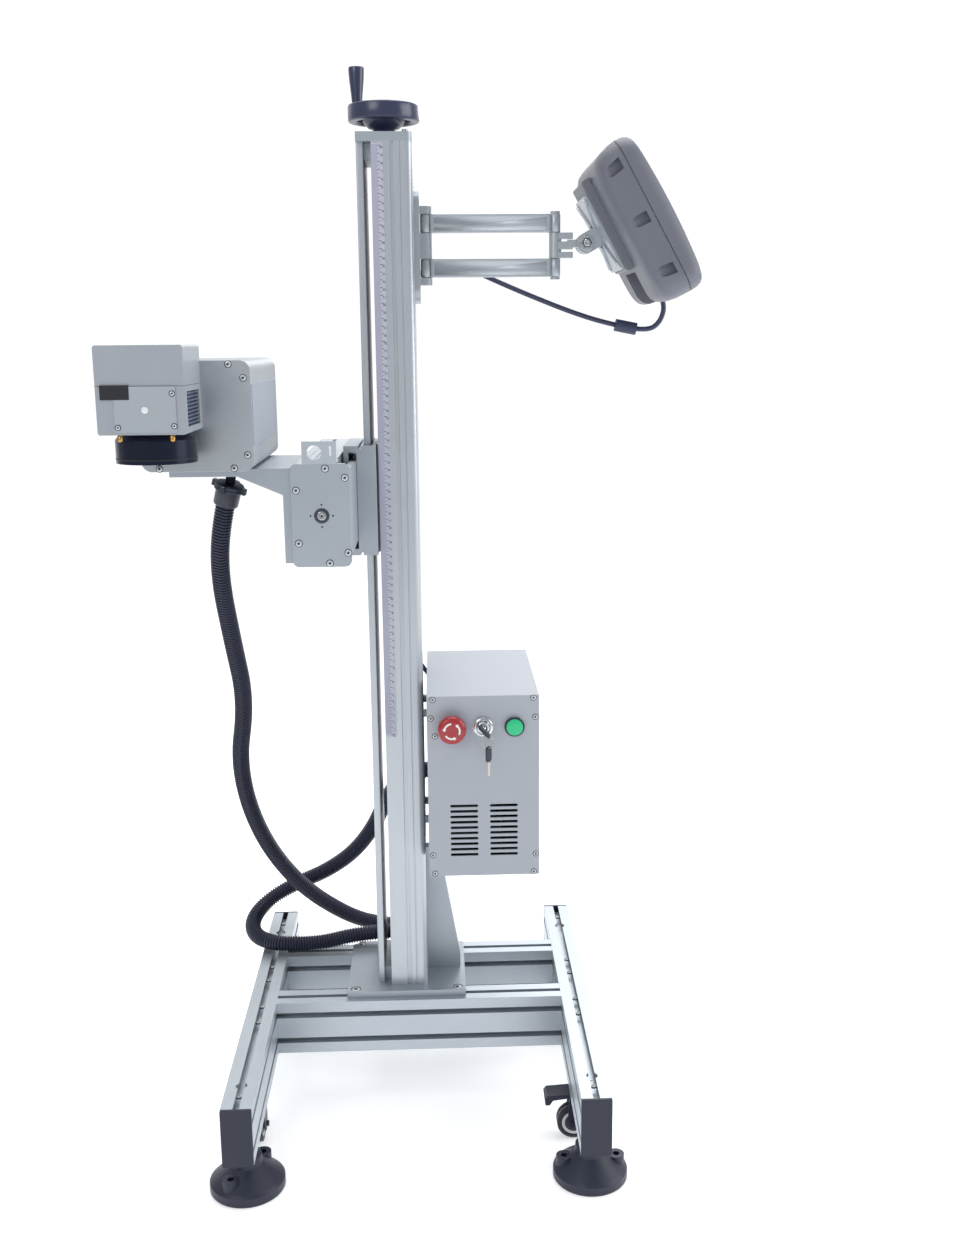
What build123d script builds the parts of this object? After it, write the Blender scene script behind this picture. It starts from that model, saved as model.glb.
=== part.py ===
from build123d import *
from math import acos, cos, hypot, radians, sin, tan
import os

os.makedirs("parts", exist_ok=True)

# Laser date coder on a wheeled lifting column. Millimetres, +Z up, +X right, -Y towards the user.
# The origin is on the floor, midway between the two base rails and midway along them.

# ---- driving dimensions: base ----
base_width = 500.0          # outside to outside of the rails
base_length = 600.0         # along the rails, end caps included
profile_w = 40.0            # extrusion width
profile_h = 80.0            # extrusion height
slot_w = 8.2                # T-slot mouth
slot_lip = 4.5              # wall beside the mouth
slot_t_w = 15.0             # T-slot room behind the mouth
slot_t_d = 7.0
core_bore_r = 3.4           # bores along the profile's core
cap_t = 4.0                 # end cap
rail_underside = 75.0       # floor to rail
plate_w, plate_d, plate_t = 175.0, 170.0, 10.0
plate_offset_x = 5.5        # plate centre from the column centre
plate_screw_inset = 12.0

# ---- driving dimensions: linear modules (column and cross slide share one section) ----
mod_w = 130.0               # section width
cover_t = 10.0              # cover strip thickness
slot_gap = 10.0             # open slot between cover strip and body
body_t = 54.0               # body thickness
body_wall = 10.0            # side walls
body_web = 12.0             # back web
lip_t, lip_in = 6.0, 10.0   # lips that keep the carriage in the body
corner_r = 8.0
groove_w, groove_d = 5.5, 2.0
line_w, line_d = 1.6, 1.0
mod_t = cover_t + slot_gap + body_t
column_x, column_y = -24.0, 72.0     # column centre
column_len = 1195.0
end_plate_t = 12.0
bearing_block_h = 20.0
screw_r, screw_fit = 8.0, 0.05       # spindle and its running clearance
journal_r = 6.0

# ---- driving dimensions: carriages ----
carriage_len = 150.0
leg_t, leg_gap = 9.0, 1.0            # legs outside the section
leg_reach = 3.0                      # beyond the cover strip
web_gap, web_t = 0.5, 6.5            # web that runs in the open slot
block_gap = 1.0                      # carriage block to lips
block_t, block_side = 32.0, 7.0      # block thickness, room to each side wall for the shoes
block_w = mod_w - 2 * (body_wall + block_side)
neck_side = 1.0                      # neck to lip
neck_w = mod_w - 2 * (body_wall + lip_in + neck_side)
shoe_l, shoe_fit = 30.0, 0.4
nut_r, nut_l = 13.0, 60.0
adapter_t = 4.0
carriage_z = 891.0
cross_len, cross_front_y = 430.0, -155.0
cross_plate_t = 10.0
hex_end_af, hex_end_l = 8.0, 20.0

# ---- driving dimensions: laser and its bracket ----
bracket_t, shelf_t = 10.0, 9.5
bracket_front_y, bracket_len, bracket_h = -150.0, 200.0, 120.0
shelf_reach = 150.0
shelf_top_z = 950.5
laser_w, laser_h, laser_l = 137.0, 133.5, 260.0
laser_right_x, laser_front_y = -185.0, -180.0
laser_wall, laser_plate_t, laser_r = 6.0, 6.0, 13.0
head_w, head_h, head_l, head_wall = 100.0, 100.0, 109.0, 8.0
head_right_x, head_bottom_z = -245.0, 1003.0
lens_r, lens_top_r, lens_h = 47.0, 40.0, 35.0
sensor_bore_r = 9.0
sensor_t, sensor_w, sensor_h = 2.0, 43.0, 28.0

# ---- driving dimensions: control box ----
box_w, box_d, box_h, box_wall = 155.0, 275.0, 262.0, 2.5
box_gap = 6.0                        # spacer length between column and box
box_front_y, box_bottom_z = -65.0, 366.5
panel_hole_r = 11.0
mushroom_r, bezel_r = 20.0, 14.0
push_fit = 0.05

# ---- driving dimensions: monitor arm and monitor ----
arm_plate_t, arm_plate_w, arm_plate_h = 7.5, 80.0, 148.0
arm_bottom_z = 1155.0
arm_len, bar_h, bar_t, barrel_r = 178.0, 24.5, 12.0, 7.0
lug_r, hinge_gap, lug_top_h, lug_mid_h = 8.5, 0.5, 10.0, 33.5
lower_bar_z = 1190.0
arm_axis_gap = 8.0                   # wall plate face to hinge axis
pin_r, pin_fit = 4.0, 0.05
tilt_reach, tilt_z = 42.0, 1234.0    # from the arm's end hinge to the tilt axis
monitor_w, monitor_h, monitor_tilt = 270.0, 214.0, 29.2
bezel_t, shell_t, shell_wall = 21.4, 49.0, 8.0
monitor_back = 28.6                  # tilt axis to the back of the shell
monitor_drop = 14.0                  # monitor centre below the tilt axis, along the screen
vesa_size, vesa_t = 108.0, 4.0

# ---- driving dimensions: wheels, feet, handwheel ----
foot_r, foot_lug, foot_y = 50.0, 35.0, 230.0
stud_r = 6.0
castor_y, castor_trail = 139.0, 13.0
wheel_r, wheel_w, wheel_clear = 24.0, 20.0, 2.0
axle_r, axle_fit, stem_r, stem_fit = 4.0, 0.05, 6.0, 0.05
handwheel_r, rim_h = 48.0, 22.0
handwheel_gap = 3.0
grip_r, grip_h, grip_orbit, grip_angle = 11.0, 50.0, 38.0, 160.0

# ---- driving dimensions: hose and cable ----
hose_r, cable_r = 12.5, 3.5
hose_gap = 1.0                       # gland bore round the hose
gland_in, gland_y = 31.0, -108.0     # hose gland, from the laser's centre plane

# ---- places worked out from the dimensions ----
rail_x = base_width / 2 - profile_w / 2
rail_len = base_length - 2 * cap_t
rail_top = rail_underside + profile_h
plate_x = column_x + plate_offset_x
beam_len = 2 * rail_x - profile_w
beam_y = [column_y - plate_d / 2 + profile_w / 2 - 10, column_y + plate_d / 2 - profile_w / 2 + 10]
column_z0 = rail_top + plate_t
column_z1 = column_z0 + column_len
column_cover_x = column_x - mod_t / 2
column_right = column_x + mod_t / 2
column_front = column_y - mod_w / 2
leg_out = mod_w / 2 + leg_gap + leg_t
cross_cover_x = column_cover_x - leg_reach - adapter_t - leg_reach
cross_x = cross_cover_x - mod_t / 2
cross_left = cross_cover_x - mod_t
lip_start = cover_t + slot_gap
web_start = mod_t - body_web
block_start = lip_start + lip_t + block_gap
spindle_in = 36.0            # spindle axis from the cover face
laser_x = laser_right_x - laser_w / 2
laser_z = shelf_top_z + laser_h / 2
gland_x = laser_x + gland_in
head_x = head_right_x - head_w / 2
head_y = laser_front_y - head_l / 2
head_z = head_bottom_z + head_h / 2
head_front = laser_front_y - head_l
box_x = column_right + box_gap + box_w / 2
box_z = box_bottom_z + box_h / 2
box_left = box_x - box_w / 2
arm_axis_x = column_right + arm_plate_t + arm_axis_gap
arm_end_x = arm_axis_x + arm_len
upper_bar_z = lower_bar_z + bar_h + 2 * hinge_gap + lug_mid_h
tilt_x = arm_end_x + tilt_reach


def save(builder, label):
    """Label one finished piece and write its STEP file."""
    builder.part.label = label
    export_step(builder.part, "parts/" + label + ".step")


def column_plane(z):
    """Section plane of the column: local x runs from the cover strip to the back web."""
    return Plane(origin=(column_cover_x, column_y, z), x_dir=(1, 0, 0), z_dir=(0, 0, 1))


def front_plane(x, y, z):
    """Vertical plane facing the user: local x is +X, local y is +Z."""
    return Plane(origin=(x, y, z), x_dir=(1, 0, 0), z_dir=(0, -1, 0))


def back_plane(x, y, z):
    """Vertical plane facing away from the user: local x is -X, local y is up."""
    return Plane(origin=(x, y, z), x_dir=(-1, 0, 0), z_dir=(0, 1, 0))


def rear_plane(x, y, z):
    """Vertical plane facing away from the user: local x is +X, local y is -Z."""
    return Plane(origin=(x, y, z), x_dir=(1, 0, 0), z_dir=(0, 1, 0))


def side_plane(x, y, z):
    """Vertical plane facing +X: local x is +Y, local y is +Z."""
    return Plane(origin=(x, y, z), x_dir=(0, 1, 0), z_dir=(1, 0, 0))


def cross_plane(y):
    """Section plane of the cross slide, which faces the column back to back."""
    return back_plane(cross_cover_x, y, carriage_z)


def monitor_plane(y):
    """Plane across the monitor: local x is out of the screen, local y is down the screen."""
    t = radians(monitor_tilt)
    return Plane(origin=(tilt_x, y, tilt_z), x_dir=(cos(t), 0, sin(t)), z_dir=(0, 1, 0))


def monitor_point(out, down, y):
    """A point of the monitor in the row frame."""
    t = radians(monitor_tilt)
    return (tilt_x + out * cos(t) + down * sin(t), y, tilt_z + out * sin(t) - down * cos(t))


def bend(points, index, share):
    """Radius of the bend at one point: a share of its shorter run."""
    a, b, c = points[index - 1], points[index], points[index + 1]
    first = hypot(b[0] - a[0], b[1] - a[1], b[2] - a[2])
    second = hypot(c[0] - b[0], c[1] - b[1], c[2] - b[2])
    dot = sum((b[i] - a[i]) * (c[i] - b[i]) for i in range(3)) / (first * second)
    return share * min(first, second) / tan(acos(dot) / 2)


def tube_path(points):
    """Centre line through the points with every corner rounded; prints its bend radii."""
    radii = [bend(points, k, 0.45) for k in range(1, len(points) - 1)]
    print("bend radii", [round(r, 1) for r in radii])
    with BuildLine() as line:
        FilletPolyline(*points, radius=radii)
    return line.wire()


def slotted_profile():
    """Draw the extrusion section: one T-slot top and bottom, two on each side."""
    Rectangle(profile_w, profile_h)
    with Locations((0, profile_h / 2), (0, -profile_h / 2)):
        Rectangle(slot_w, 2 * slot_lip, mode=Mode.SUBTRACT)
    slot_t_y = profile_h / 2 - slot_lip - slot_t_d / 2
    with Locations((0, slot_t_y), (0, -slot_t_y)):
        Rectangle(slot_t_w, slot_t_d, mode=Mode.SUBTRACT)
    for side in (-1, 1):
        for level in (-profile_h / 4, profile_h / 4):
            with Locations((side * profile_w / 2, level)):
                Rectangle(2 * slot_lip, slot_w, mode=Mode.SUBTRACT)
            with Locations((side * (profile_w / 2 - slot_lip - slot_t_d / 2), level)):
                Rectangle(slot_t_d, slot_t_w, mode=Mode.SUBTRACT)
    with Locations((0, profile_h / 4), (0, -profile_h / 4)):
        Circle(core_bore_r, mode=Mode.SUBTRACT)


def module_body_section():
    """Draw the module body: a channel with lips, rounded back corners and shallow side grooves."""
    inner = web_start - lip_start - lip_t
    with Locations((lip_start + body_t / 2, 0)):
        RectangleRounded(body_t, mod_w, corner_r)
    with Locations((lip_start + body_t / 4, 0)):
        Rectangle(body_t / 2, mod_w)
    with Locations((lip_start + lip_t + inner / 2, 0)):
        Rectangle(inner, mod_w - 2 * body_wall, mode=Mode.SUBTRACT)
    with Locations((lip_start + lip_t / 2, 0)):
        Rectangle(lip_t, mod_w - 2 * body_wall - 2 * lip_in, mode=Mode.SUBTRACT)
    for side in (-1, 1):
        with Locations((lip_start + body_t / 2, side * (mod_w / 2 - groove_d / 2))):
            Rectangle(groove_w, groove_d, mode=Mode.SUBTRACT)
        with Locations((mod_t - corner_r - 8, side * (mod_w / 2 - line_d / 2))):
            Rectangle(line_w, line_d, mode=Mode.SUBTRACT)


def module_cover_section():
    """Draw the cover strip that closes the open side of a module."""
    with Locations((cover_t / 2, 0)):
        RectangleRounded(cover_t, mod_w - 20, 2)


def carriage_section():
    """Draw a carriage: web in the slot, legs round the cover strip, neck and block in the body."""
    with Locations((cover_t + web_gap + web_t / 2, 0)):
        Rectangle(web_t, 2 * leg_out)
    for side in (-1, 1):
        with Locations(((cover_t + web_gap + web_t - leg_reach) / 2, side * (leg_out - leg_t / 2))):
            Rectangle(cover_t + web_gap + web_t + leg_reach, leg_t)
    with Locations(((cover_t + web_gap + web_t + block_start) / 2, 0)):
        Rectangle(block_start - cover_t - web_gap - web_t, neck_w)
    with Locations((block_start + block_t / 2, 0)):
        Rectangle(block_t, block_w)
    with Locations((spindle_in, 0)):
        Circle(nut_r, mode=Mode.SUBTRACT)


def shoe_section():
    """Draw the two slide shoes of one row beside the carriage block."""
    room = web_start - lip_start - lip_t
    wide = mod_w / 2 - body_wall - block_w / 2 - shoe_fit
    for side in (-1, 1):
        with Locations((lip_start + lip_t + room / 2, side * (block_w / 2 + wide / 2))):
            Rectangle(room - 2 * shoe_fit, wide)


# ================= base =================
rail_sites = [rail_x, -rail_x]
beam_z = rail_underside + profile_h / 2
with BuildPart() as base_rails:
    for x in rail_sites:
        with BuildSketch(rear_plane(x, -rail_len / 2, beam_z)):
            slotted_profile()
    extrude(amount=rail_len)
    for x in rail_sites:
        for y in (-foot_y, foot_y):
            # access hole over each foot and the tapped bore of its stud
            with BuildSketch(Plane.XY.offset(rail_top)):
                with Locations((x, y - 12)):
                    Circle(7.5)
            extrude(amount=-12, mode=Mode.SUBTRACT)
            with BuildSketch(Plane.XY.offset(rail_underside)):
                with Locations((x, y)):
                    Circle(stud_r)
            extrude(amount=30, mode=Mode.SUBTRACT)
        for y in (-castor_y, castor_y):
            with BuildSketch(Plane.XY.offset(rail_underside)):
                with Locations((x, y)):
                    Circle(stem_r + stem_fit)
            extrude(amount=32, mode=Mode.SUBTRACT)
save(base_rails, "base_rails")

with BuildPart() as cross_beams:
    for y in beam_y:
        with BuildSketch(side_plane(-beam_len / 2, y, beam_z)):
            slotted_profile()
    extrude(amount=beam_len)
save(cross_beams, "cross_beams")

with BuildPart() as rail_end_caps:
    for x in rail_sites:
        for y in (-base_length / 2, rail_len / 2):
            with BuildSketch(rear_plane(x, y, beam_z)):
                RectangleRounded(profile_w, profile_h, 1.5)
    extrude(amount=cap_t)
save(rail_end_caps, "rail_end_caps")

plate_holes = [
    (plate_x + sx * (plate_w / 2 - plate_screw_inset), y) for sx in (-1, 1) for y in beam_y
]
with BuildPart() as base_plate:
    with BuildSketch(Plane.XY.offset(rail_top)) as plate_outline:
        with Locations((plate_x, column_y)):
            Rectangle(plate_w, plate_d)
        chamfer(plate_outline.vertices().sort_by(Axis.Y)[-2:], 12)
        with Locations(*plate_holes):
            Circle(4.5, mode=Mode.SUBTRACT)
    extrude(amount=plate_t)
    with BuildSketch(Plane.XY.offset(column_z0)):
        with Locations(*plate_holes):
            Circle(7.5)
    extrude(amount=-5, mode=Mode.SUBTRACT)
save(base_plate, "base_plate")

# every cap screw of the fixed frame: base plate, end plate, box standoffs, wall plate
stand_y = [column_y - 40, column_y + 40]
stand_z = [box_bottom_z + 50, box_bottom_z + box_h - 50]
with BuildPart() as frame_screws:
    with BuildSketch(Plane.XY.offset(column_z0 - 5)):
        with Locations(*plate_holes):
            Circle(6.5)
            RegularPolygon(3.0, 6, mode=Mode.SUBTRACT)
    extrude(amount=4.5)
    with BuildSketch(Plane.XY.offset(rail_top - 11)):
        with Locations(*plate_holes):
            Circle(4.0)
    extrude(amount=11 + plate_t - 5)
    with BuildSketch(Plane.XY.offset(rail_top - slot_lip - 5)):
        with Locations(*plate_holes):
            Circle(6.0)
    extrude(amount=5)
    with BuildSketch(Plane.XY.offset(column_z1 + end_plate_t)):
        with Locations((column_right - 9, column_front + 12), (column_right - 9, column_front + mod_w - 12)):
            Circle(4.2)
            RegularPolygon(2.0, 6, mode=Mode.SUBTRACT)
    extrude(amount=4)
    for y in stand_y:
        for z in stand_z:
            with BuildSketch(side_plane(column_right, y, z)):
                RegularPolygon(6.0, 6)
            extrude(amount=box_gap)
save(frame_screws, "frame_screws")

foot_sites = [(x, y) for x in rail_sites for y in (-foot_y, foot_y)]
with BuildPart() as levelling_feet:
    for x, y in foot_sites:
        turn = 0.0 if x > 0 else 60.0
        with BuildSketch(front_plane(x, y, 0)):
            with BuildLine():
                Polyline(
                    (0, 0),
                    (foot_r - 1.5, 0),
                    (foot_r, 2),
                    (foot_r, 13),
                    (foot_r - 3, 16),
                    (21, 36),
                    (20, 48),
                    (16, 50),
                    (stud_r, 50),
                    (stud_r, 62),
                    (10, 62),
                    (10, rail_underside),
                    (stud_r, rail_underside),
                    (stud_r, rail_underside + 28),
                    (0, rail_underside + 28),
                    (0, 0),
                )
            make_face()
        revolve(axis=Axis((x, y, 0), (0, 0, 1)))
        lugs = [
            (x + side * foot_lug * cos(radians(turn)), y + side * foot_lug * sin(radians(turn)))
            for side in (-1, 1)
        ]
        with BuildSketch(Plane.XY.offset(14)):
            with Locations(*lugs):
                Circle(11)
        extrude(amount=17)
        with BuildSketch(Plane.XY):
            with Locations(*lugs):
                Circle(4.5)
        extrude(amount=32, mode=Mode.SUBTRACT)
save(levelling_feet, "levelling_feet")

# ================= castors =================
castor_sites = [
    (rail_x, -castor_y, 180, True),
    (-rail_x, -castor_y, 90, True),
    (rail_x, castor_y, 180, False),
    (-rail_x, castor_y, 90, False),
]
axle_z = wheel_r + wheel_clear
cheek_t = 2.5
cheek_in = wheel_w / 2 + 1.0
fork_top = rail_underside - 2.0


def castor_plane(x, y, heading, aside, height):
    """Upright plane along a castor's trail: local x is the way it trails, local y is +Z."""
    hx = cos(radians(heading))
    hy = sin(radians(heading))
    return Plane(origin=(x + aside * hy, y - aside * hx, height), x_dir=(hx, hy, 0), z_dir=(hy, -hx, 0))


for number, (sx, sy, heading, braked) in enumerate(castor_sites, 1):
    hx = cos(radians(heading))
    hy = sin(radians(heading))
    with BuildPart() as fork:
        for aside in (-cheek_in - cheek_t, cheek_in):
            with BuildSketch(castor_plane(sx, sy, heading, aside, 0)):
                with BuildLine():
                    Polyline(
                        (castor_trail + 7, axle_z - 7),
                        (castor_trail - 7, axle_z - 7),
                        (-14, fork_top - 10),
                        (-14, fork_top),
                        (20, fork_top),
                        (castor_trail + 9, axle_z + 10),
                        (castor_trail + 7, axle_z - 7),
                    )
                make_face()
            extrude(amount=cheek_t)
        with BuildSketch(castor_plane(sx, sy, heading, -cheek_in - cheek_t, fork_top - 3)):
            with Locations((3, 0)):
                Rectangle(34, 6)
        extrude(amount=2 * (cheek_in + cheek_t))
        with BuildSketch(Plane.XY.offset(fork_top)):
            with Locations((sx, sy)):
                Circle(stem_r)
        extrude(amount=30)
        with BuildSketch(Plane.XY.offset(fork_top)):
            with Locations((sx, sy)):
                Circle(12)
        extrude(amount=1.5)
        # axle pin between the cheeks
        with BuildSketch(castor_plane(sx, sy, heading, -cheek_in - cheek_t - 3, axle_z)):
            with Locations((castor_trail, 0)):
                Circle(axle_r)
        extrude(amount=2 * (cheek_in + cheek_t + 3))
        if braked:
            with BuildSketch(castor_plane(sx, sy, heading, -14, 0)):
                with BuildLine():
                    Polyline(
                        (18, fork_top - 6),
                        (18, fork_top),
                        (castor_trail + 38, fork_top - 2),
                        (castor_trail + 42, fork_top - 7),
                        (castor_trail + 41, fork_top - 16),
                        (castor_trail + 35, fork_top - 16),
                        (castor_trail + 30, fork_top - 9),
                        (18, fork_top - 6),
                    )
                make_face()
            extrude(amount=28)
    save(fork, "castor_fork_" + str(number))
    with BuildPart() as wheel:
        with BuildSketch(castor_plane(sx, sy, heading, -wheel_w / 2, axle_z)):
            with Locations((castor_trail, 0)):
                Circle(wheel_r)
                Circle(axle_r + axle_fit, mode=Mode.SUBTRACT)
        extrude(amount=wheel_w)
        chamfer(wheel.edges().filter_by(GeomType.CIRCLE).group_by(SortBy.RADIUS)[-1], 2)
        for aside, way in ((wheel_w / 2, -4), (-wheel_w / 2, 4)):
            with BuildSketch(castor_plane(sx, sy, heading, aside, axle_z)):
                with Locations((castor_trail, 0)):
                    Circle(wheel_r - 6)
                    Circle(axle_r + 5, mode=Mode.SUBTRACT)
            extrude(amount=way, mode=Mode.SUBTRACT)
    save(wheel, "castor_wheel_" + str(number))

# ================= column =================
with BuildPart() as column_body:
    with BuildSketch(column_plane(column_z0)):
        module_body_section()
    extrude(amount=column_len)
save(column_body, "column_body")

ruler_z0 = column_z1 - 808.5
with BuildPart() as column_ruler:
    with BuildSketch(front_plane(0, column_front, 0)):
        with Locations((column_cover_x + lip_start + 8, (ruler_z0 + column_z1 - 2) / 2)):
            Rectangle(16, column_z1 - 2 - ruler_z0)
    extrude(amount=0.6)
save(column_ruler, "column_ruler")

with BuildPart() as column_cover_plate:
    with BuildSketch(column_plane(column_z0)):
        module_cover_section()
    extrude(amount=column_len)
save(column_cover_plate, "column_cover_plate")

with BuildPart() as column_end_plate:
    with BuildSketch(column_plane(column_z1)) as end_outline:
        with Locations((mod_t / 2, 0)):
            Rectangle(mod_t, mod_w)
        fillet(end_outline.vertices().sort_by(Axis.X)[-2:], corner_r)
        with Locations((spindle_in, 0)):
            Circle(journal_r + screw_fit, mode=Mode.SUBTRACT)
    extrude(amount=end_plate_t)
save(column_end_plate, "column_end_plate")

block_len = web_start - cover_t
with BuildPart() as lift_bearings:
    for z in (column_z0, column_z1 - bearing_block_h):
        with BuildSketch(column_plane(z)):
            with Locations((cover_t + block_len / 2, 0)):
                Rectangle(block_len, mod_w - 2 * body_wall - 2 * lip_in)
            with Locations((spindle_in, 0)):
                Circle(journal_r + screw_fit, mode=Mode.SUBTRACT)
        extrude(amount=bearing_block_h)
save(lift_bearings, "lift_bearings")

with BuildPart() as column_gusset:
    with BuildSketch(front_plane(0, column_y + 8, 0)):
        with BuildLine():
            Polyline(
                (column_right, column_z0),
                (column_right + 49.5, column_z0),
                (column_right + 49.5, column_z0 + 21),
                (column_right + 19.5, box_bottom_z - 6),
                (column_right, box_bottom_z - 6),
                (column_right, column_z0),
            )
        make_face()
    extrude(amount=18)
save(column_gusset, "column_gusset")

# ================= lift spindle and handwheel =================
wheel_z0 = column_z1 + end_plate_t + handwheel_gap
screw_x = column_cover_x + spindle_in
with BuildPart() as lift_screw:
    with BuildSketch(Plane.XY.offset(column_z0 + bearing_block_h + 0.5)):
        with Locations((screw_x, column_y)):
            Circle(screw_r)
    extrude(amount=column_len - 2 * bearing_block_h - 1)
    with BuildSketch(Plane.XY.offset(column_z0 + 2)):
        with Locations((screw_x, column_y)):
            Circle(journal_r)
    extrude(amount=wheel_z0 + rim_h + 16 - column_z0 - 2)
save(lift_screw, "lift_screw")

rim_z0 = column_z1 + end_plate_t + 20
grip_x = screw_x + grip_orbit * cos(radians(grip_angle))
grip_y = column_y + grip_orbit * sin(radians(grip_angle))
with BuildPart() as handwheel:
    with BuildSketch(front_plane(screw_x, column_y, 0)):
        with BuildLine():
            Polyline(
                (journal_r, wheel_z0),
                (15, wheel_z0),
                (15, wheel_z0 + 9),
                (22.5, wheel_z0 + 9),
                (20, rim_z0 + 6),
                (handwheel_r - 13, rim_z0 + 6),
                (handwheel_r - 11, rim_z0),
                (handwheel_r - 2, rim_z0),
                (handwheel_r, rim_z0 + 3),
                (handwheel_r, rim_z0 + rim_h - 5),
                (handwheel_r - 4, rim_z0 + rim_h),
                (handwheel_r - 10, rim_z0 + rim_h),
                (handwheel_r - 13, rim_z0 + rim_h - 6),
                (20, rim_z0 + rim_h - 6),
                (18, rim_z0 + rim_h),
                (journal_r, rim_z0 + rim_h),
                (journal_r, wheel_z0),
            )
        make_face()
    revolve(axis=Axis((screw_x, column_y, 0), (0, 0, 1)))
    # lightening windows between the spokes
    with BuildSketch(Plane.XY.offset(rim_z0)):
        with Locations((screw_x, column_y)):
            with PolarLocations(27.5, 5, start_angle=grip_angle + 36):
                Circle(6)
    extrude(amount=rim_h, mode=Mode.SUBTRACT)
    # boss and pin of the revolving handle
    with BuildSketch(Plane.XY.offset(rim_z0)):
        with Locations((grip_x, grip_y)):
            Circle(9)
    extrude(amount=rim_h - 1)
    with BuildSketch(Plane.XY.offset(rim_z0)):
        with Locations((grip_x, grip_y)):
            Circle(pin_r)
    extrude(amount=rim_h + 34)
save(handwheel, "handwheel")

grip_z0 = rim_z0 + rim_h + 0.5
with BuildPart() as handwheel_handle:
    with BuildSketch(front_plane(grip_x, grip_y, 0)):
        with BuildLine():
            Polyline(
                (pin_r + pin_fit, grip_z0),
                (7.2, grip_z0),
                (8.2, grip_z0 + 20),
                (grip_r, grip_z0 + grip_h - 10),
                (grip_r, grip_z0 + grip_h - 6),
                (grip_r - 4, grip_z0 + grip_h),
                (0, grip_z0 + grip_h),
                (0, grip_z0 + 36),
                (pin_r + pin_fit, grip_z0 + 36),
                (pin_r + pin_fit, grip_z0),
            )
        make_face()
    revolve(axis=Axis((grip_x, grip_y, 0), (0, 0, 1)))
save(handwheel_handle, "handwheel_handle")

# ================= carriages =================
car_z0 = carriage_z - carriage_len / 2
adapter_x = column_cover_x - leg_reach
with BuildPart() as lift_carriage:
    with BuildSketch(column_plane(car_z0)):
        carriage_section()
    extrude(amount=carriage_len)
    # closing plate outside the cover strip
    with BuildSketch(Plane.XY.offset(car_z0)):
        with Locations((adapter_x + 1.25, column_y)):
            Rectangle(2.5, 2 * leg_out)
    extrude(amount=carriage_len)
save(lift_carriage, "lift_carriage")

cross_car_y = column_y - carriage_len / 2
with BuildPart() as cross_carriage:
    with BuildSketch(cross_plane(cross_car_y)):
        carriage_section()
    extrude(amount=carriage_len)
    with BuildSketch(back_plane(cross_cover_x + leg_reach, cross_car_y, carriage_z)):
        with Locations(((leg_reach - 0.5) / 2, 0)):
            Rectangle(leg_reach - 0.5, 2 * leg_out)
        with Locations((-adapter_t / 2, 0)):
            Rectangle(adapter_t, 2 * leg_out - 8)
    extrude(amount=carriage_len)
save(cross_carriage, "cross_carriage")

shoe_at = [6.0, carriage_len - 6.0 - shoe_l]
with BuildPart() as slide_shoes:
    for step in shoe_at:
        with BuildSketch(column_plane(car_z0 + step)):
            shoe_section()
        extrude(amount=shoe_l)
        with BuildSketch(cross_plane(cross_car_y + step)):
            shoe_section()
        extrude(amount=shoe_l)
save(slide_shoes, "slide_shoes")

with BuildPart() as screw_nuts:
    with BuildSketch(column_plane(carriage_z - nut_l / 2)):
        with Locations((spindle_in, 0)):
            Circle(nut_r)
            Circle(screw_r + screw_fit, mode=Mode.SUBTRACT)
    extrude(amount=nut_l)
    with BuildSketch(cross_plane(column_y - nut_l / 2)):
        with Locations((spindle_in, 0)):
            Circle(nut_r)
            Circle(screw_r + screw_fit, mode=Mode.SUBTRACT)
    extrude(amount=nut_l)
save(screw_nuts, "screw_nuts")

# ================= cross slide =================
cross_back_y = cross_front_y + cross_len
cross_inner = cross_len - 2 * cross_plate_t
with BuildPart() as cross_body:
    with BuildSketch(cross_plane(cross_front_y + cross_plate_t)):
        module_body_section()
    extrude(amount=cross_inner)
save(cross_body, "cross_body")

with BuildPart() as cross_cover_plate:
    with BuildSketch(cross_plane(cross_front_y + cross_plate_t)):
        module_cover_section()
    extrude(amount=cross_inner)
save(cross_cover_plate, "cross_cover_plate")

with BuildPart() as cross_end_plates:
    for y in (cross_front_y, cross_back_y - cross_plate_t):
        with BuildSketch(cross_plane(y)):
            with Locations((mod_t / 2, 0)):
                RectangleRounded(mod_t, mod_w, corner_r)
            with Locations((spindle_in, 0)):
                Circle(journal_r + screw_fit, mode=Mode.SUBTRACT)
        extrude(amount=cross_plate_t)
save(cross_end_plates, "cross_end_plates")

cross_screw_x = cross_cover_x - spindle_in
with BuildPart() as cross_screw:
    with BuildSketch(cross_plane(cross_front_y + cross_plate_t + 0.5)):
        with Locations((spindle_in, 0)):
            Circle(screw_r)
    extrude(amount=cross_inner - 1)
    with BuildSketch(cross_plane(cross_front_y + 1)):
        with Locations((spindle_in, 0)):
            Circle(journal_r)
    extrude(amount=cross_len - 1)
    with BuildSketch(cross_plane(cross_back_y)):
        with Locations((spindle_in, 0)):
            RegularPolygon(hex_end_af / 2, 6, major_radius=False)
    extrude(amount=hex_end_l)
save(cross_screw, "cross_screw")

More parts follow.
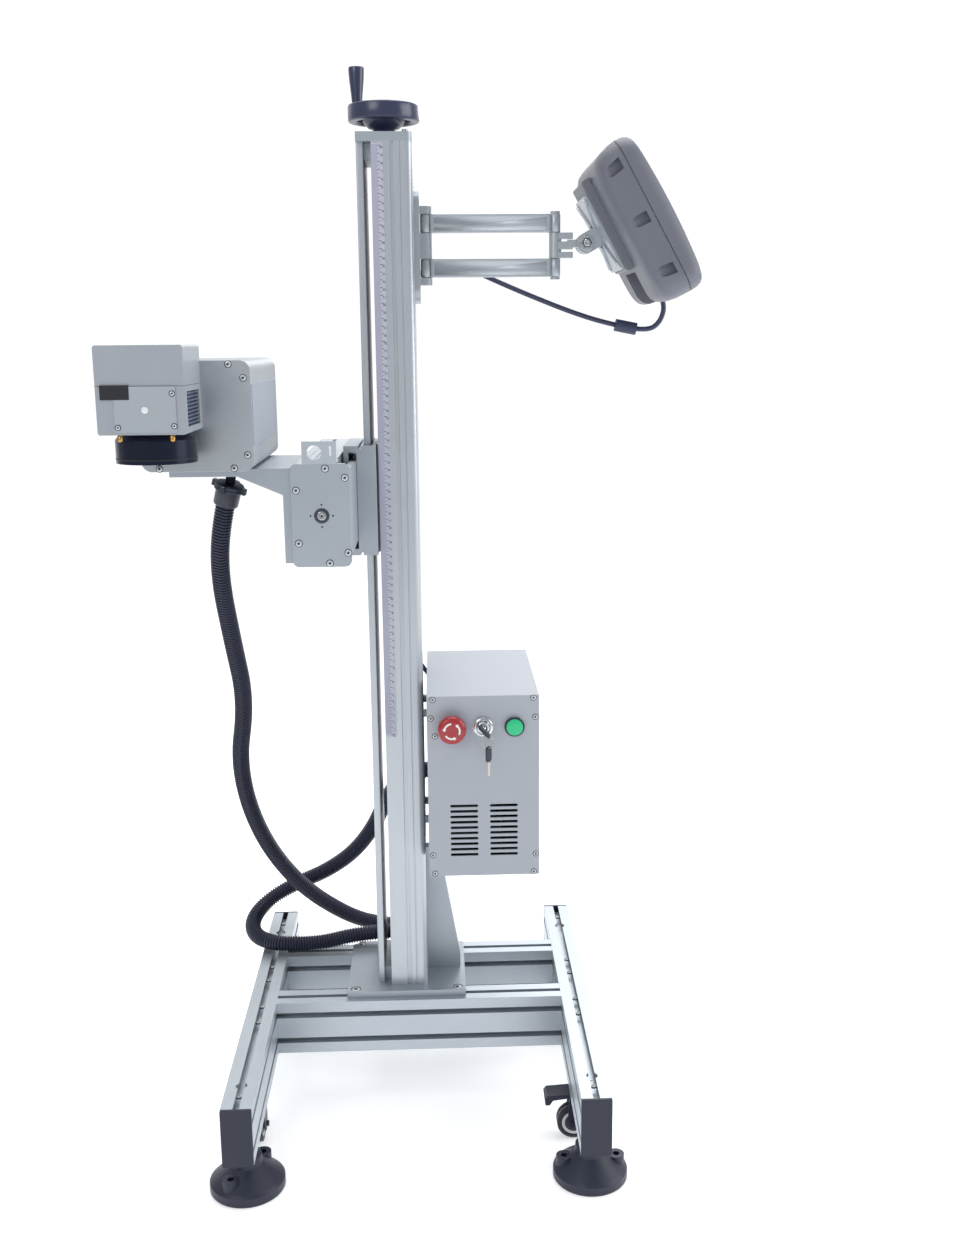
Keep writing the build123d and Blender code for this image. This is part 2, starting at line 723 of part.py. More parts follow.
# ================= laser bracket, laser and scan head =================
bracket_z0 = shelf_top_z - bracket_h
with BuildPart() as laser_bracket:
    with BuildSketch(front_plane(0, bracket_front_y, 0)):
        with BuildLine():
            Polyline(
                (cross_left, bracket_z0),
                (cross_left, shelf_top_z),
                (cross_left - shelf_reach, shelf_top_z),
                (cross_left - shelf_reach, shelf_top_z - shelf_t),
                (cross_left - bracket_t, shelf_top_z - shelf_t),
                (cross_left - bracket_t, bracket_z0),
                (cross_left, bracket_z0),
            )
        make_face()
    extrude(amount=-bracket_len)
    # ribs under the shelf
    for y in (bracket_front_y, bracket_front_y + bracket_len - 8):
        with BuildSketch(front_plane(0, y, 0)):
            with BuildLine():
                Polyline(
                    (cross_left - bracket_t, shelf_top_z - shelf_t),
                    (cross_left - bracket_t - 56, shelf_top_z - shelf_t),
                    (cross_left - bracket_t, shelf_top_z - shelf_t - 24),
                    (cross_left - bracket_t, shelf_top_z - shelf_t),
                )
            make_face()
        extrude(amount=-8)
    # opening for the hose gland
    with BuildSketch(Plane.XY.offset(shelf_top_z)):
        with Locations((gland_x, gland_y)):
            Circle(hose_r + 4.5)
    extrude(amount=-shelf_t, mode=Mode.SUBTRACT)
save(laser_bracket, "laser_bracket")

laser_body_l = laser_l - 2 * laser_plate_t
laser_in_w, laser_in_h = laser_w - 2 * laser_wall, laser_h - 2 * laser_wall
with BuildPart() as laser_housing:
    with BuildSketch(rear_plane(laser_x, laser_front_y + laser_plate_t, laser_z)):
        RectangleRounded(laser_w, laser_h, laser_r)
        RectangleRounded(laser_in_w, laser_in_h, laser_r - laser_wall, mode=Mode.SUBTRACT)
    extrude(amount=laser_body_l)
    with BuildSketch(Plane.XY.offset(shelf_top_z)):
        with Locations((gland_x, gland_y)):
            Circle(hose_r + 0.5)
    extrude(amount=laser_wall, mode=Mode.SUBTRACT)
save(laser_housing, "laser_housing")

with BuildPart() as laser_end_plates:
    for y in (laser_front_y, laser_front_y + laser_l - laser_plate_t):
        with BuildSketch(rear_plane(laser_x, y, laser_z)):
            RectangleRounded(laser_w, laser_h, laser_r)
        extrude(amount=laser_plate_t)
    # beam bore into the scan head
    with BuildSketch(rear_plane(head_x, laser_front_y, head_z)):
        Circle(12)
    extrude(amount=laser_plate_t, mode=Mode.SUBTRACT)
save(laser_end_plates, "laser_end_plates")

module_room = laser_h - 2 * laser_wall
with BuildPart() as laser_module:
    # seed unit on the floor of the housing and the collimator tube in line with the beam bore
    with BuildSketch(Plane.XY.offset(shelf_top_z + laser_wall)):
        with Locations((laser_x - 16, laser_front_y + laser_plate_t + 148)):
            Rectangle(74, 176)
    extrude(amount=38)
    with BuildSketch(rear_plane(head_x, laser_front_y + laser_plate_t, head_z)):
        Circle(16)
        Circle(9, mode=Mode.SUBTRACT)
    extrude(amount=120)
    with BuildSketch(Plane.XY.offset(shelf_top_z + laser_wall + 38)):
        with Locations((head_x, laser_front_y + laser_plate_t + 90)):
            Rectangle(20, 40)
    extrude(amount=head_z - 14 - shelf_top_z - laser_wall - 38)
save(laser_module, "laser_module")

with BuildPart() as scan_head:
    with BuildSketch(rear_plane(head_x, head_front, head_z)):
        RectangleRounded(head_w, head_h, 3)
    extrude(amount=head_l)
    with BuildSketch(rear_plane(head_x, head_front + head_wall, head_z)):
        Rectangle(head_w - 2 * head_wall, head_h - 2 * head_wall)
    extrude(amount=head_l - 2 * head_wall, mode=Mode.SUBTRACT)
    with BuildSketch(front_plane(head_x, laser_front_y, head_z)):
        Circle(12)
    extrude(amount=head_wall, mode=Mode.SUBTRACT)
    with BuildSketch(Plane.XY.offset(head_bottom_z)):
        with Locations((head_x + 4, head_y)):
            Circle(lens_top_r - 8)
    extrude(amount=head_wall, mode=Mode.SUBTRACT)
    # window in the right side for the heat sink
    with BuildSketch(side_plane(head_right_x, head_y, head_bottom_z + 28)):
        Rectangle(80, 40)
    extrude(amount=-head_wall, mode=Mode.SUBTRACT)
save(scan_head, "scan_head")

with BuildPart() as scan_cover:
    with BuildSketch(front_plane(head_x + 5, head_front, head_bottom_z + 28.5)):
        RectangleRounded(70, 52, 2)
    extrude(amount=1.5)
save(scan_cover, "scan_cover")

with BuildPart() as scan_heat_sink:
    with BuildSketch(side_plane(head_right_x - head_wall, head_y, head_bottom_z + 28)):
        Rectangle(80, 40)
    extrude(amount=3)
    with BuildSketch(side_plane(head_right_x - head_wall + 3, head_y, head_bottom_z + 28)):
        with GridLocations(8, 1, 10, 1):
            Rectangle(2, 38)
    extrude(amount=4)
save(scan_heat_sink, "scan_heat_sink")

with BuildPart() as lens:
    with BuildSketch(front_plane(head_x + 4, head_y, head_bottom_z)):
        with BuildLine():
            Polyline(
                (0, -lens_h + 8),
                (lens_r - 6, -lens_h + 8),
                (lens_r - 6, -lens_h),
                (lens_r, -lens_h),
                (lens_r, -8),
                (lens_top_r, 0),
                (0, 0),
                (0, -lens_h + 8),
            )
        make_face()
    revolve(axis=Axis((head_x + 4, head_y, 0), (0, 0, 1)))
save(lens, "lens")

with BuildPart() as sensor_bracket:
    with BuildSketch(front_plane(cross_x, cross_front_y, carriage_z + mod_w / 2 + sensor_h / 2)):
        Rectangle(sensor_w, sensor_h)
        with Locations((-6, 0)):
            Circle(sensor_bore_r, mode=Mode.SUBTRACT)
        with Locations((14, 2)):
            Rectangle(3, 12, mode=Mode.SUBTRACT)
    extrude(amount=-sensor_t)
    with BuildSketch(Plane.XY.offset(carriage_z + mod_w / 2)):
        with Locations((cross_x, cross_front_y + 22)):
            Rectangle(sensor_w, 44)
    extrude(amount=sensor_t)
save(sensor_bracket, "sensor_bracket")

plate_screws = [(36, 62), (6, 50), (66, 34), (66, -34), (6, -46), (28, -60)]
with BuildPart() as head_screws:
    for y, way in ((cross_front_y, -1), (cross_back_y, 1)):
        with BuildSketch(Plane(origin=(cross_cover_x, y, carriage_z), x_dir=(-1, 0, 0), z_dir=(0, way, 0))):
            with Locations(*[(x, -way * z) for x, z in plate_screws[1:5]]):
                Circle(3.5)
                RegularPolygon(1.6, 6, mode=Mode.SUBTRACT)
        extrude(amount=2.5)
    for y, way in ((laser_front_y, -1), (laser_front_y + laser_l, 1)):
        with BuildSketch(Plane(origin=(laser_x, y, laser_z), x_dir=(1, 0, 0), z_dir=(0, way, 0))):
            for sx, sz in ((1, 1), (1, -1), (-1, -1)):
                with Locations(
                    (sx * (laser_w / 2 - 8), -way * sz * (laser_h / 2 - 20)),
                    (sx * (laser_w / 2 - 24), -way * sz * (laser_h / 2 - 4.5)),
                ):
                    Circle(2.6)
        extrude(amount=1.2)
    with BuildSketch(front_plane(head_x + 5, head_front - 1.5, head_bottom_z + 28.5)):
        with Locations((31, 20), (-32, -21), (31, -20), (-32, 20)):
            Circle(1.9)
    extrude(amount=1.0)
    # studs beside the lens
    with BuildSketch(Plane.XY.offset(head_bottom_z)):
        for sx in (-26, 33):
            with Locations((head_x + sx, head_front + 5)):
                RegularPolygon(3.2, 6)
    extrude(amount=-8)
save(head_screws, "head_screws")


# ================= laser hose =================
hose_route = [
    (gland_x, gland_y, shelf_top_z - 6.5),
    (-241, -99, 884),
    (-252, -76, 806),
    (-246, -30, 706),
    (-239, 22, 604),
    (-264, 76, 488),
    (-246, 134, 360),
    (-194, 190, 250),
    (-117, 232, 174),
    (-60, 255, 148),
    (-8, 262, 140),
    (26, 232, 146),
    (28, 188, 164),
    (-4, 156, 182),
    (-58, 151, 184),
    (-110, 149, 179.5),
    (-150, 148, 170),
    (-192, 146, 168.5),
    (-234, 150, 168.5),
    (-268, 178, 170),
    (-276, 220, 180),
    (-250, 250, 202),
    (-203, 257, 226),
    (-156, 254, 246),
    (-108, 244, 282),
    (-72, 226, 334),
    (-52, 206, 386),
    (-26, 190, 428),
    (box_left + 8, 184, 446),
]
with BuildPart() as laser_hose:
    hose_line = tube_path(hose_route)
    with BuildSketch(Plane(origin=hose_line @ 0, z_dir=hose_line % 0)):
        Circle(hose_r)
    sweep(path=hose_line)
save(laser_hose, "laser_hose")

gland_end = hose_line @ (46 / hose_line.length)
gland_dir = (hose_line @ 0) - gland_end
with BuildPart() as hose_gland:
    with BuildSketch(Plane(origin=gland_end, z_dir=gland_dir)):
        Circle(hose_r + 4)
        Circle(hose_r + hose_gap, mode=Mode.SUBTRACT)
    extrude(amount=20)
    with BuildSketch(Plane(origin=gland_end + gland_dir.normalized() * 20, z_dir=gland_dir)):
        Circle(hose_r + 7)
        for side in (-1, 1):
            with Locations((side * (hose_r + 8), 0)):
                Rectangle(6, 8)
        Circle(hose_r + hose_gap, mode=Mode.SUBTRACT)
    extrude(amount=9)
save(hose_gland, "hose_gland")

# ================= control box =================
box_back_y = box_front_y + box_d
panel_back = box_front_y + box_wall
with BuildPart() as box_shell:
    with BuildSketch(rear_plane(box_x, panel_back, box_z)):
        Rectangle(box_w, box_h)
    extrude(amount=box_d - box_wall)
    with BuildSketch(rear_plane(box_x, panel_back, box_z)):
        Rectangle(box_w - 2 * box_wall, box_h - 2 * box_wall)
    extrude(amount=box_d - 2 * box_wall, mode=Mode.SUBTRACT)
    # openings for the hose and the monitor cable
    with BuildSketch(side_plane(box_left, 0, 0)):
        with Locations((184, 443)):
            Circle(hose_r + 4)
        with Locations((column_y + 104, 597)):
            Circle(cable_r + 8)
    extrude(amount=box_wall, mode=Mode.SUBTRACT)
    # fan grille in the back
    with BuildSketch(back_plane(box_x, box_back_y, box_z + 40)):
        with GridLocations(9, 1, 8, 1):
            Rectangle(4, 60)
    extrude(amount=-box_wall, mode=Mode.SUBTRACT)
save(box_shell, "box_shell")

control_z = box_bottom_z + 218.5
control_x = [box_x - 43.2, box_x, box_x + 43.2]
vent_columns = [box_x - 27.5, box_x + 28]
with BuildPart() as box_panel:
    with BuildSketch(front_plane(box_x, panel_back, box_z)):
        Rectangle(box_w, box_h)
        for x in control_x:
            with Locations((x - box_x, control_z - box_z)):
                Circle(panel_hole_r, mode=Mode.SUBTRACT)
        for x in vent_columns:
            with Locations((x - box_x, box_bottom_z + 67.5 - box_z)):
                with GridLocations(1, 8, 1, 10):
                    SlotOverall(39, 4, mode=Mode.SUBTRACT)
    extrude(amount=box_wall)
save(box_panel, "box_panel")

with BuildPart() as box_electronics:
    # power supply, laser driver, terminal rail and fan
    with BuildSketch(Plane.XY.offset(box_bottom_z + box_wall)):
        with Locations((box_x - 20, box_front_y + 130)):
            Rectangle(90, 160)
    extrude(amount=55)
    with BuildSketch(Plane.XY.offset(box_bottom_z + box_wall + 55)):
        with Locations((box_x - 20, box_front_y + 140)):
            Rectangle(80, 130)
    extrude(amount=60)
    with BuildSketch(back_plane(box_x, box_back_y - box_wall, box_z + 40)):
        Rectangle(80, 80)
        Circle(36, mode=Mode.SUBTRACT)
        Circle(12)
    extrude(amount=-25)
    with BuildSketch(Plane.XY.offset(box_bottom_z + box_wall)):
        with Locations((box_x + 50, box_front_y + 130)):
            Rectangle(30, 140)
    extrude(amount=30)
save(box_electronics, "box_electronics")

with BuildPart() as panel_bezels:
    with BuildSketch(front_plane(0, box_front_y, 0)):
        with Locations(*[(x, control_z) for x in control_x]):
            Circle(bezel_r)
            Circle(8 + push_fit, mode=Mode.SUBTRACT)
    extrude(amount=3.5)
    with BuildSketch(front_plane(0, box_front_y, 0)):
        with Locations(*[(x, control_z) for x in control_x]):
            Circle(panel_hole_r)
            Circle(8 + push_fit, mode=Mode.SUBTRACT)
    extrude(amount=-30)
save(panel_bezels, "panel_bezels")

with BuildPart() as estop_button:
    with BuildSketch(front_plane(control_x[0], box_front_y + 22, control_z)):
        Circle(8)
    extrude(amount=22 + 12)
    with BuildSketch(front_plane(control_x[0], box_front_y - 11, control_z)):
        Circle(mushroom_r)
    extrude(amount=13)
    fillet(estop_button.edges().filter_by(GeomType.CIRCLE).sort_by(Axis.Y)[0], 5)
save(estop_button, "estop_button")

with BuildPart() as start_button:
    with BuildSketch(front_plane(control_x[2], box_front_y + 22, control_z)):
        Circle(8)
    extrude(amount=22 + 6.5)
    fillet(start_button.edges().filter_by(GeomType.CIRCLE).sort_by(Axis.Y)[0], 1.5)
save(start_button, "start_button")

ring_out, ring_r, wire_r = 24.0, 9.0, 0.8
with BuildPart() as key:
    with BuildSketch(front_plane(control_x[1], box_front_y + 22, control_z)):
        Circle(8)
    extrude(amount=22 + 4.5)
    with BuildSketch(side_plane(control_x[1] - 1, box_front_y, control_z)):
        with Locations((-9, 0)):
            Rectangle(12, 8)
        with Locations((-21, 0)):
            Circle(9)
        with Locations((-ring_out, 0)):
            Circle(2.2, mode=Mode.SUBTRACT)
    extrude(amount=2)
save(key, "key")

ring_y = box_front_y - ring_out
with BuildPart() as spare_key:
    with Locations(Location((control_x[1], ring_y, control_z - ring_r), (90, 0, 0))):
        Torus(ring_r, wire_r)
    with BuildSketch(side_plane(control_x[1] - 1, ring_y, control_z)):
        with Locations((0, -2 * ring_r - 6)):
            Circle(8.5)
        with Locations((0, -2 * ring_r - 24)):
            Rectangle(6, 24)
    extrude(amount=2)
save(spare_key, "spare_key")

# ================= monitor arm =================
plate_x1 = column_right + arm_plate_t
lug_levels = [
    (lower_bar_z - hinge_gap - lug_top_h, lug_top_h),
    (lower_bar_z + bar_h + hinge_gap, lug_mid_h),
    (upper_bar_z + bar_h + hinge_gap, lug_top_h),
]
with BuildPart() as arm_wall_plate:
    with BuildSketch(side_plane(column_right, column_y, arm_bottom_z + arm_plate_h / 2)):
        RectangleRounded(arm_plate_w, arm_plate_h, 20)
    extrude(amount=arm_plate_t)
    for z, h in lug_levels:
        with BuildSketch(Plane.XY.offset(z)):
            with Locations((arm_axis_x, column_y)):
                Circle(lug_r)
            with Locations(((plate_x1 + arm_axis_x) / 2, column_y)):
                Rectangle(arm_axis_x - plate_x1, 2 * lug_r)
        extrude(amount=h)
    with BuildSketch(Plane.XY.offset(lug_levels[0][0])):
        with Locations((arm_axis_x, column_y)):
            Circle(pin_r)
    extrude(amount=lug_levels[2][0] + lug_top_h - lug_levels[0][0])
save(arm_wall_plate, "arm_wall_plate")

bar_mid_x = (arm_axis_x + arm_end_x) / 2
with BuildPart() as arm_bars:
    for z in (lower_bar_z, upper_bar_z):
        with BuildSketch(Plane.XY.offset(z)):
            with Locations((bar_mid_x, column_y)):
                Rectangle(arm_len, bar_t)
            with Locations((arm_axis_x, column_y), (arm_end_x, column_y)):
                Circle(barrel_r)
                Circle(pin_r + pin_fit, mode=Mode.SUBTRACT)
        extrude(amount=bar_h)
        # shallow panels in both faces
        for side in (-1, 1):
            face = (bar_mid_x, column_y + side * bar_t / 2, z + bar_h / 2)
            with BuildSketch(Plane(origin=face, x_dir=(1, 0, 0), z_dir=(0, side, 0))):
                Rectangle(arm_len - 36, bar_h - 8)
            extrude(amount=-1.5, mode=Mode.SUBTRACT)
save(arm_bars, "arm_bars")

mid_z0, mid_h = lug_levels[1]
mid_zc = mid_z0 + mid_h / 2
tongue_t = 16.0
with BuildPart() as arm_end_bracket:
    with BuildSketch(Plane.XY.offset(mid_z0)):
        with Locations((arm_end_x, column_y)):
            Circle(lug_r)
    extrude(amount=mid_h)
    with BuildSketch(Plane.XY.offset(lower_bar_z - hinge_gap - 3)):
        with Locations((arm_end_x, column_y)):
            Circle(pin_r)
    extrude(amount=upper_bar_z + bar_h - lower_bar_z + 2 * hinge_gap + 6)
    for z in (lower_bar_z - hinge_gap - 3, upper_bar_z + bar_h + hinge_gap):
        with BuildSketch(Plane.XY.offset(z)):
            with Locations((arm_end_x, column_y)):
                Circle(6.5)
        extrude(amount=3)
    # ears and knuckle, then the tongue on the tilt axis
    for z, h in ((mid_z0, 8), (mid_z0 + mid_h - 8, 8), (mid_zc - 5, 10)):
        with BuildSketch(Plane.XY.offset(z)):
            with Locations((arm_end_x + 12, column_y)):
                Rectangle(24, 15)
        extrude(amount=h)
    with BuildSketch(front_plane(tilt_x, column_y + tongue_t / 2, tilt_z)):
        Circle(13)
        with Locations((-tilt_reach / 2 + 4, 0)):
            Rectangle(tilt_reach - 26, 10)
        Circle(pin_r + 1 + pin_fit, mode=Mode.SUBTRACT)
    extrude(amount=tongue_t)
save(arm_end_bracket, "arm_end_bracket")

vesa_out = monitor_back - 4 - vesa_t
cheek_w = 5.5
with BuildPart() as tilt_bracket:
    for side in (-1, 1):
        cheek_y = column_y + side * (tongue_t / 2 + 0.4 + cheek_w / 2) - cheek_w / 2
        with BuildSketch(monitor_plane(cheek_y)):
            Circle(13.5)
            with Locations((vesa_out / 2, 0)):
                Rectangle(vesa_out, 27)
        extrude(amount=cheek_w)
    with BuildSketch(monitor_plane(column_y - vesa_size / 2)):
        with Locations((vesa_out + vesa_t / 2, 0)):
            Rectangle(vesa_t, vesa_size)
    extrude(amount=vesa_size)
    # tilt bolt with its head and nut
    with BuildSketch(monitor_plane(column_y - 20)):
        Circle(pin_r + 1)
    extrude(amount=40)
    for y in (column_y - 20, column_y + 14):
        with BuildSketch(monitor_plane(y)):
            RegularPolygon(8.5, 6)
        extrude(amount=6)
save(tilt_bracket, "tilt_bracket")

# ================= monitor =================
shell_out = monitor_back + shell_t
with BuildPart() as monitor_shell:
    shell_mid = Plane(
        origin=monitor_point(monitor_back, monitor_drop, column_y),
        x_dir=(0, 1, 0),
        z_dir=(cos(radians(monitor_tilt)), 0, sin(radians(monitor_tilt))),
    )
    with BuildSketch(shell_mid.offset(shell_t)):
        RectangleRounded(monitor_w, monitor_h, 16)
    extrude(amount=-shell_t)
    chamfer(monitor_shell.faces().sort_by(Axis((0, 0, 0), shell_mid.z_dir))[0].edges(), 14)
    with BuildSketch(shell_mid.offset(shell_t)):
        RectangleRounded(monitor_w - 2 * shell_wall - 40, monitor_h - 2 * shell_wall - 56, 10)
    extrude(amount=-(shell_t - shell_wall), mode=Mode.SUBTRACT)
    # pad behind the bracket and the port bay below it
    with BuildSketch(shell_mid):
        with Locations((0, monitor_drop)):
            Rectangle(vesa_size + 8, vesa_size + 8)
    extrude(amount=-4)
    with BuildSketch(shell_mid):
        with Locations((0, -monitor_h / 2 + 12)):
            Rectangle(120, 32)
    extrude(amount=shell_t - shell_wall, mode=Mode.SUBTRACT)
save(monitor_shell, "monitor_shell")

with BuildPart() as monitor_bezel:
    with BuildSketch(shell_mid.offset(shell_t)):
        RectangleRounded(monitor_w, monitor_h, 16)
    extrude(amount=bezel_t)
    fillet(monitor_bezel.faces().sort_by(Axis((0, 0, 0), shell_mid.z_dir))[-1].edges(), 9)
    with BuildSketch(shell_mid.offset(shell_t)):
        Rectangle(monitor_w - 44, monitor_h - 44)
    extrude(amount=bezel_t, mode=Mode.SUBTRACT)
save(monitor_bezel, "monitor_bezel")

with BuildPart() as monitor_screen:
    with BuildSketch(shell_mid.offset(shell_t)):
        Rectangle(monitor_w - 44, monitor_h - 44)
    extrude(amount=bezel_t - 4)
save(monitor_screen, "monitor_screen")

# ================= monitor cable =================
port = monitor_point(monitor_back + 31.4, monitor_drop + monitor_h / 2 - 27, column_y)
cable_route = [
    port,
    monitor_point(monitor_back + 31.4, monitor_drop + monitor_h / 2 + 3, column_y),
    (355, column_y, 1128),
    (336, column_y, 1115.5),
    (280, column_y, 1126.7),
    (233, column_y, 1141),
    (172, column_y + 2, 1165),
    (122, column_y + 14, 1187),
    (86, column_y + 22, 1204),
    (54, column_y + 40, 1210),
    (26, column_y + 64, 1205),
    (-2, column_y + 81, 1180),
    (-16, column_y + 83, 1122),
    (-12, column_y + 77, 1048),
    (-14, column_y + 77, 966),
    (-16, column_y + 80, 876),
    (-14, column_y + 77, 786),
    (-12, column_y + 80, 696),
    (-4, column_y + 92, 632),
    (box_left + 8, column_y + 106, 592),
]
with BuildPart() as monitor_cable:
    cable_line = tube_path(cable_route)
    with BuildSketch(Plane(origin=cable_line @ 0, z_dir=cable_line % 0)):
        Circle(cable_r)
    sweep(path=cable_line)
save(monitor_cable, "monitor_cable")

ferrite_a = Vector(*cable_route[3]) + (Vector(*cable_route[4]) - Vector(*cable_route[3])) * 0.28
ferrite_dir = Vector(*cable_route[4]) - Vector(*cable_route[3])
with BuildPart() as cable_ferrite:
    with BuildSketch(Plane(origin=ferrite_a, z_dir=ferrite_dir)):
        Circle(8.5)
        Circle(cable_r, mode=Mode.SUBTRACT)
    extrude(amount=30)
save(cable_ferrite, "cable_ferrite")
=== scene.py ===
import bpy, bmesh
from math import cos, sin, pi, radians
from mathutils import Vector, Matrix


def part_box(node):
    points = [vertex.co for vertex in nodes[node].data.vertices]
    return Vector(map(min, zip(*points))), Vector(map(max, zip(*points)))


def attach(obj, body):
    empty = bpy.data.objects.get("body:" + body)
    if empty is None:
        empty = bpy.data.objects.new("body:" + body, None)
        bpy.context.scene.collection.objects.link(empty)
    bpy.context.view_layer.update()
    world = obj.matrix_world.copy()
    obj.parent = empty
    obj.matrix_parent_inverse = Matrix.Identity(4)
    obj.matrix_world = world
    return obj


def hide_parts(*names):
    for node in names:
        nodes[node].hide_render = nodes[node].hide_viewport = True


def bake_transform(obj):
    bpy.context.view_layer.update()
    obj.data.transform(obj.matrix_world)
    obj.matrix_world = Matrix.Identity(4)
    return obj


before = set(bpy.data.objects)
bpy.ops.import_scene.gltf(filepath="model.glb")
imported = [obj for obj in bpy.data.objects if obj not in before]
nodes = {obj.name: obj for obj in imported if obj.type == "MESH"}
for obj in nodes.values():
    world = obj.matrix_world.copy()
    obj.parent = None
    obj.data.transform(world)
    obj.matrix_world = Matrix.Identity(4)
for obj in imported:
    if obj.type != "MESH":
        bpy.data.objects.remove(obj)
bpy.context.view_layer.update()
mm = 0.001
sharpAngle = radians(34)  # edges steeper than this stay crisp
print("frame loaded")

# camera, backdrop and light
camSetup = {"place": (0.03674, -1.82274, 1.10647), "yaw": 0.04, "pitch": -0.215, "roll": -0.008,
            "lens": 48.76}
camData = bpy.data.cameras.new("studioCamera")
camData.sensor_fit, camData.sensor_width, camData.lens = "HORIZONTAL", 36.0, camSetup["lens"]
camData.clip_end = 50
cam = bpy.data.objects.new("studioCamera", camData)
bpy.context.collection.objects.link(cam)
yaw, pitch, roll = camSetup["yaw"], camSetup["pitch"], camSetup["roll"]
fwd = Vector((sin(yaw) * cos(pitch), cos(yaw) * cos(pitch), sin(pitch)))
rightDir = Vector((cos(yaw), -sin(yaw), 0))
upDir = rightDir.cross(fwd)
rollRight = cos(roll) * rightDir + sin(roll) * upDir
rollUp = -sin(roll) * rightDir + cos(roll) * upDir
cam.matrix_world = Matrix.Translation(camSetup["place"]) @ Matrix((rollRight, rollUp,
        -fwd)).transposed().to_4x4()
bpy.context.scene.camera = cam


def toLinear(hexText):
    out = []
    for i in (0, 2, 4):
        c = int(hexText[i:i + 2], 16) / 255
        out.append(c / 12.92 if c <= 0.04045 else ((c + 0.055) / 1.055) ** 2.4)
    return (*out, 1.0)


def addNode(tree, kind, settings=None, links=None):
    # one node with its plain settings, socket values and incoming links
    n = tree.nodes.new(kind)
    for key, value in (settings or {}).items():
        if hasattr(n, key) and not key[0].isupper():
            setattr(n, key, value)
        else:
            n.inputs[key].default_value = value
    for key, source in (links or {}).items():
        tree.links.new(source, n.inputs[key])
    return n


def newFinish(name):
    m = bpy.data.materials.new(name)
    m.use_nodes = True
    m.node_tree.nodes.clear()
    return m, m.node_tree


def surfaceFinish(name, dark, light, metallic, roughness, grainMm, bumpMm, stretch=(1, 1, 1),
                  roughSpread=0.06, ior=1.5, coat=0.0, glow=0.0, edgeMm=0.7):
    # two close tones mixed by fine grain, the grain also in the bump and the gloss
    m, t = newFinish(name)
    where = addNode(t, "ShaderNodeTexCoord")
    spread = addNode(t, "ShaderNodeMapping", {"Scale": stretch}, {"Vector": where.outputs["Object"]})
    grain = addNode(t, "ShaderNodeTexNoise", {"Scale": 1 / (grainMm * mm), "Detail": 3.0},
                    {"Vector": spread.outputs["Vector"]})
    cloud = addNode(t, "ShaderNodeTexNoise", {"Scale": 9.0, "Detail": 2.0},
                    {"Vector": where.outputs["Object"]})
    both = addNode(t, "ShaderNodeMath", {"operation": "ADD"},
                   {0: grain.outputs["Fac"], 1: cloud.outputs["Fac"]})
    half = addNode(t, "ShaderNodeMath", {"operation": "MULTIPLY"}, {0: both.outputs[0]})
    half.inputs[1].default_value = 0.5
    tone = addNode(t, "ShaderNodeMix", {"data_type": "RGBA"}, None)
    tone.inputs[6].default_value, tone.inputs[7].default_value = toLinear(dark), toLinear(light)
    t.links.new(half.outputs[0], tone.inputs[0])
    gloss = addNode(t, "ShaderNodeMapRange",
                    {"To Min": roughness - roughSpread, "To Max": roughness + roughSpread},
                    {"Value": grain.outputs["Fac"]})
    edge = addNode(t, "ShaderNodeBevel", {"samples": 6, "Radius": edgeMm * mm})
    bump = addNode(t, "ShaderNodeBump", {"Strength": 0.35, "Distance": bumpMm * mm},
                   {"Height": grain.outputs["Fac"], "Normal": edge.outputs["Normal"]})
    skin = addNode(t, "ShaderNodeBsdfPrincipled",
                   {"Metallic": metallic, "IOR": ior, "Coat Weight": coat, "Emission Color": toLinear(light),
                    "Emission Strength": glow},
                   {"Base Color": tone.outputs[2], "Roughness": gloss.outputs["Result"],
                    "Normal": bump.outputs["Normal"]})
    addNode(t, "ShaderNodeOutputMaterial", None, {"Surface": skin.outputs["BSDF"]})
    return m


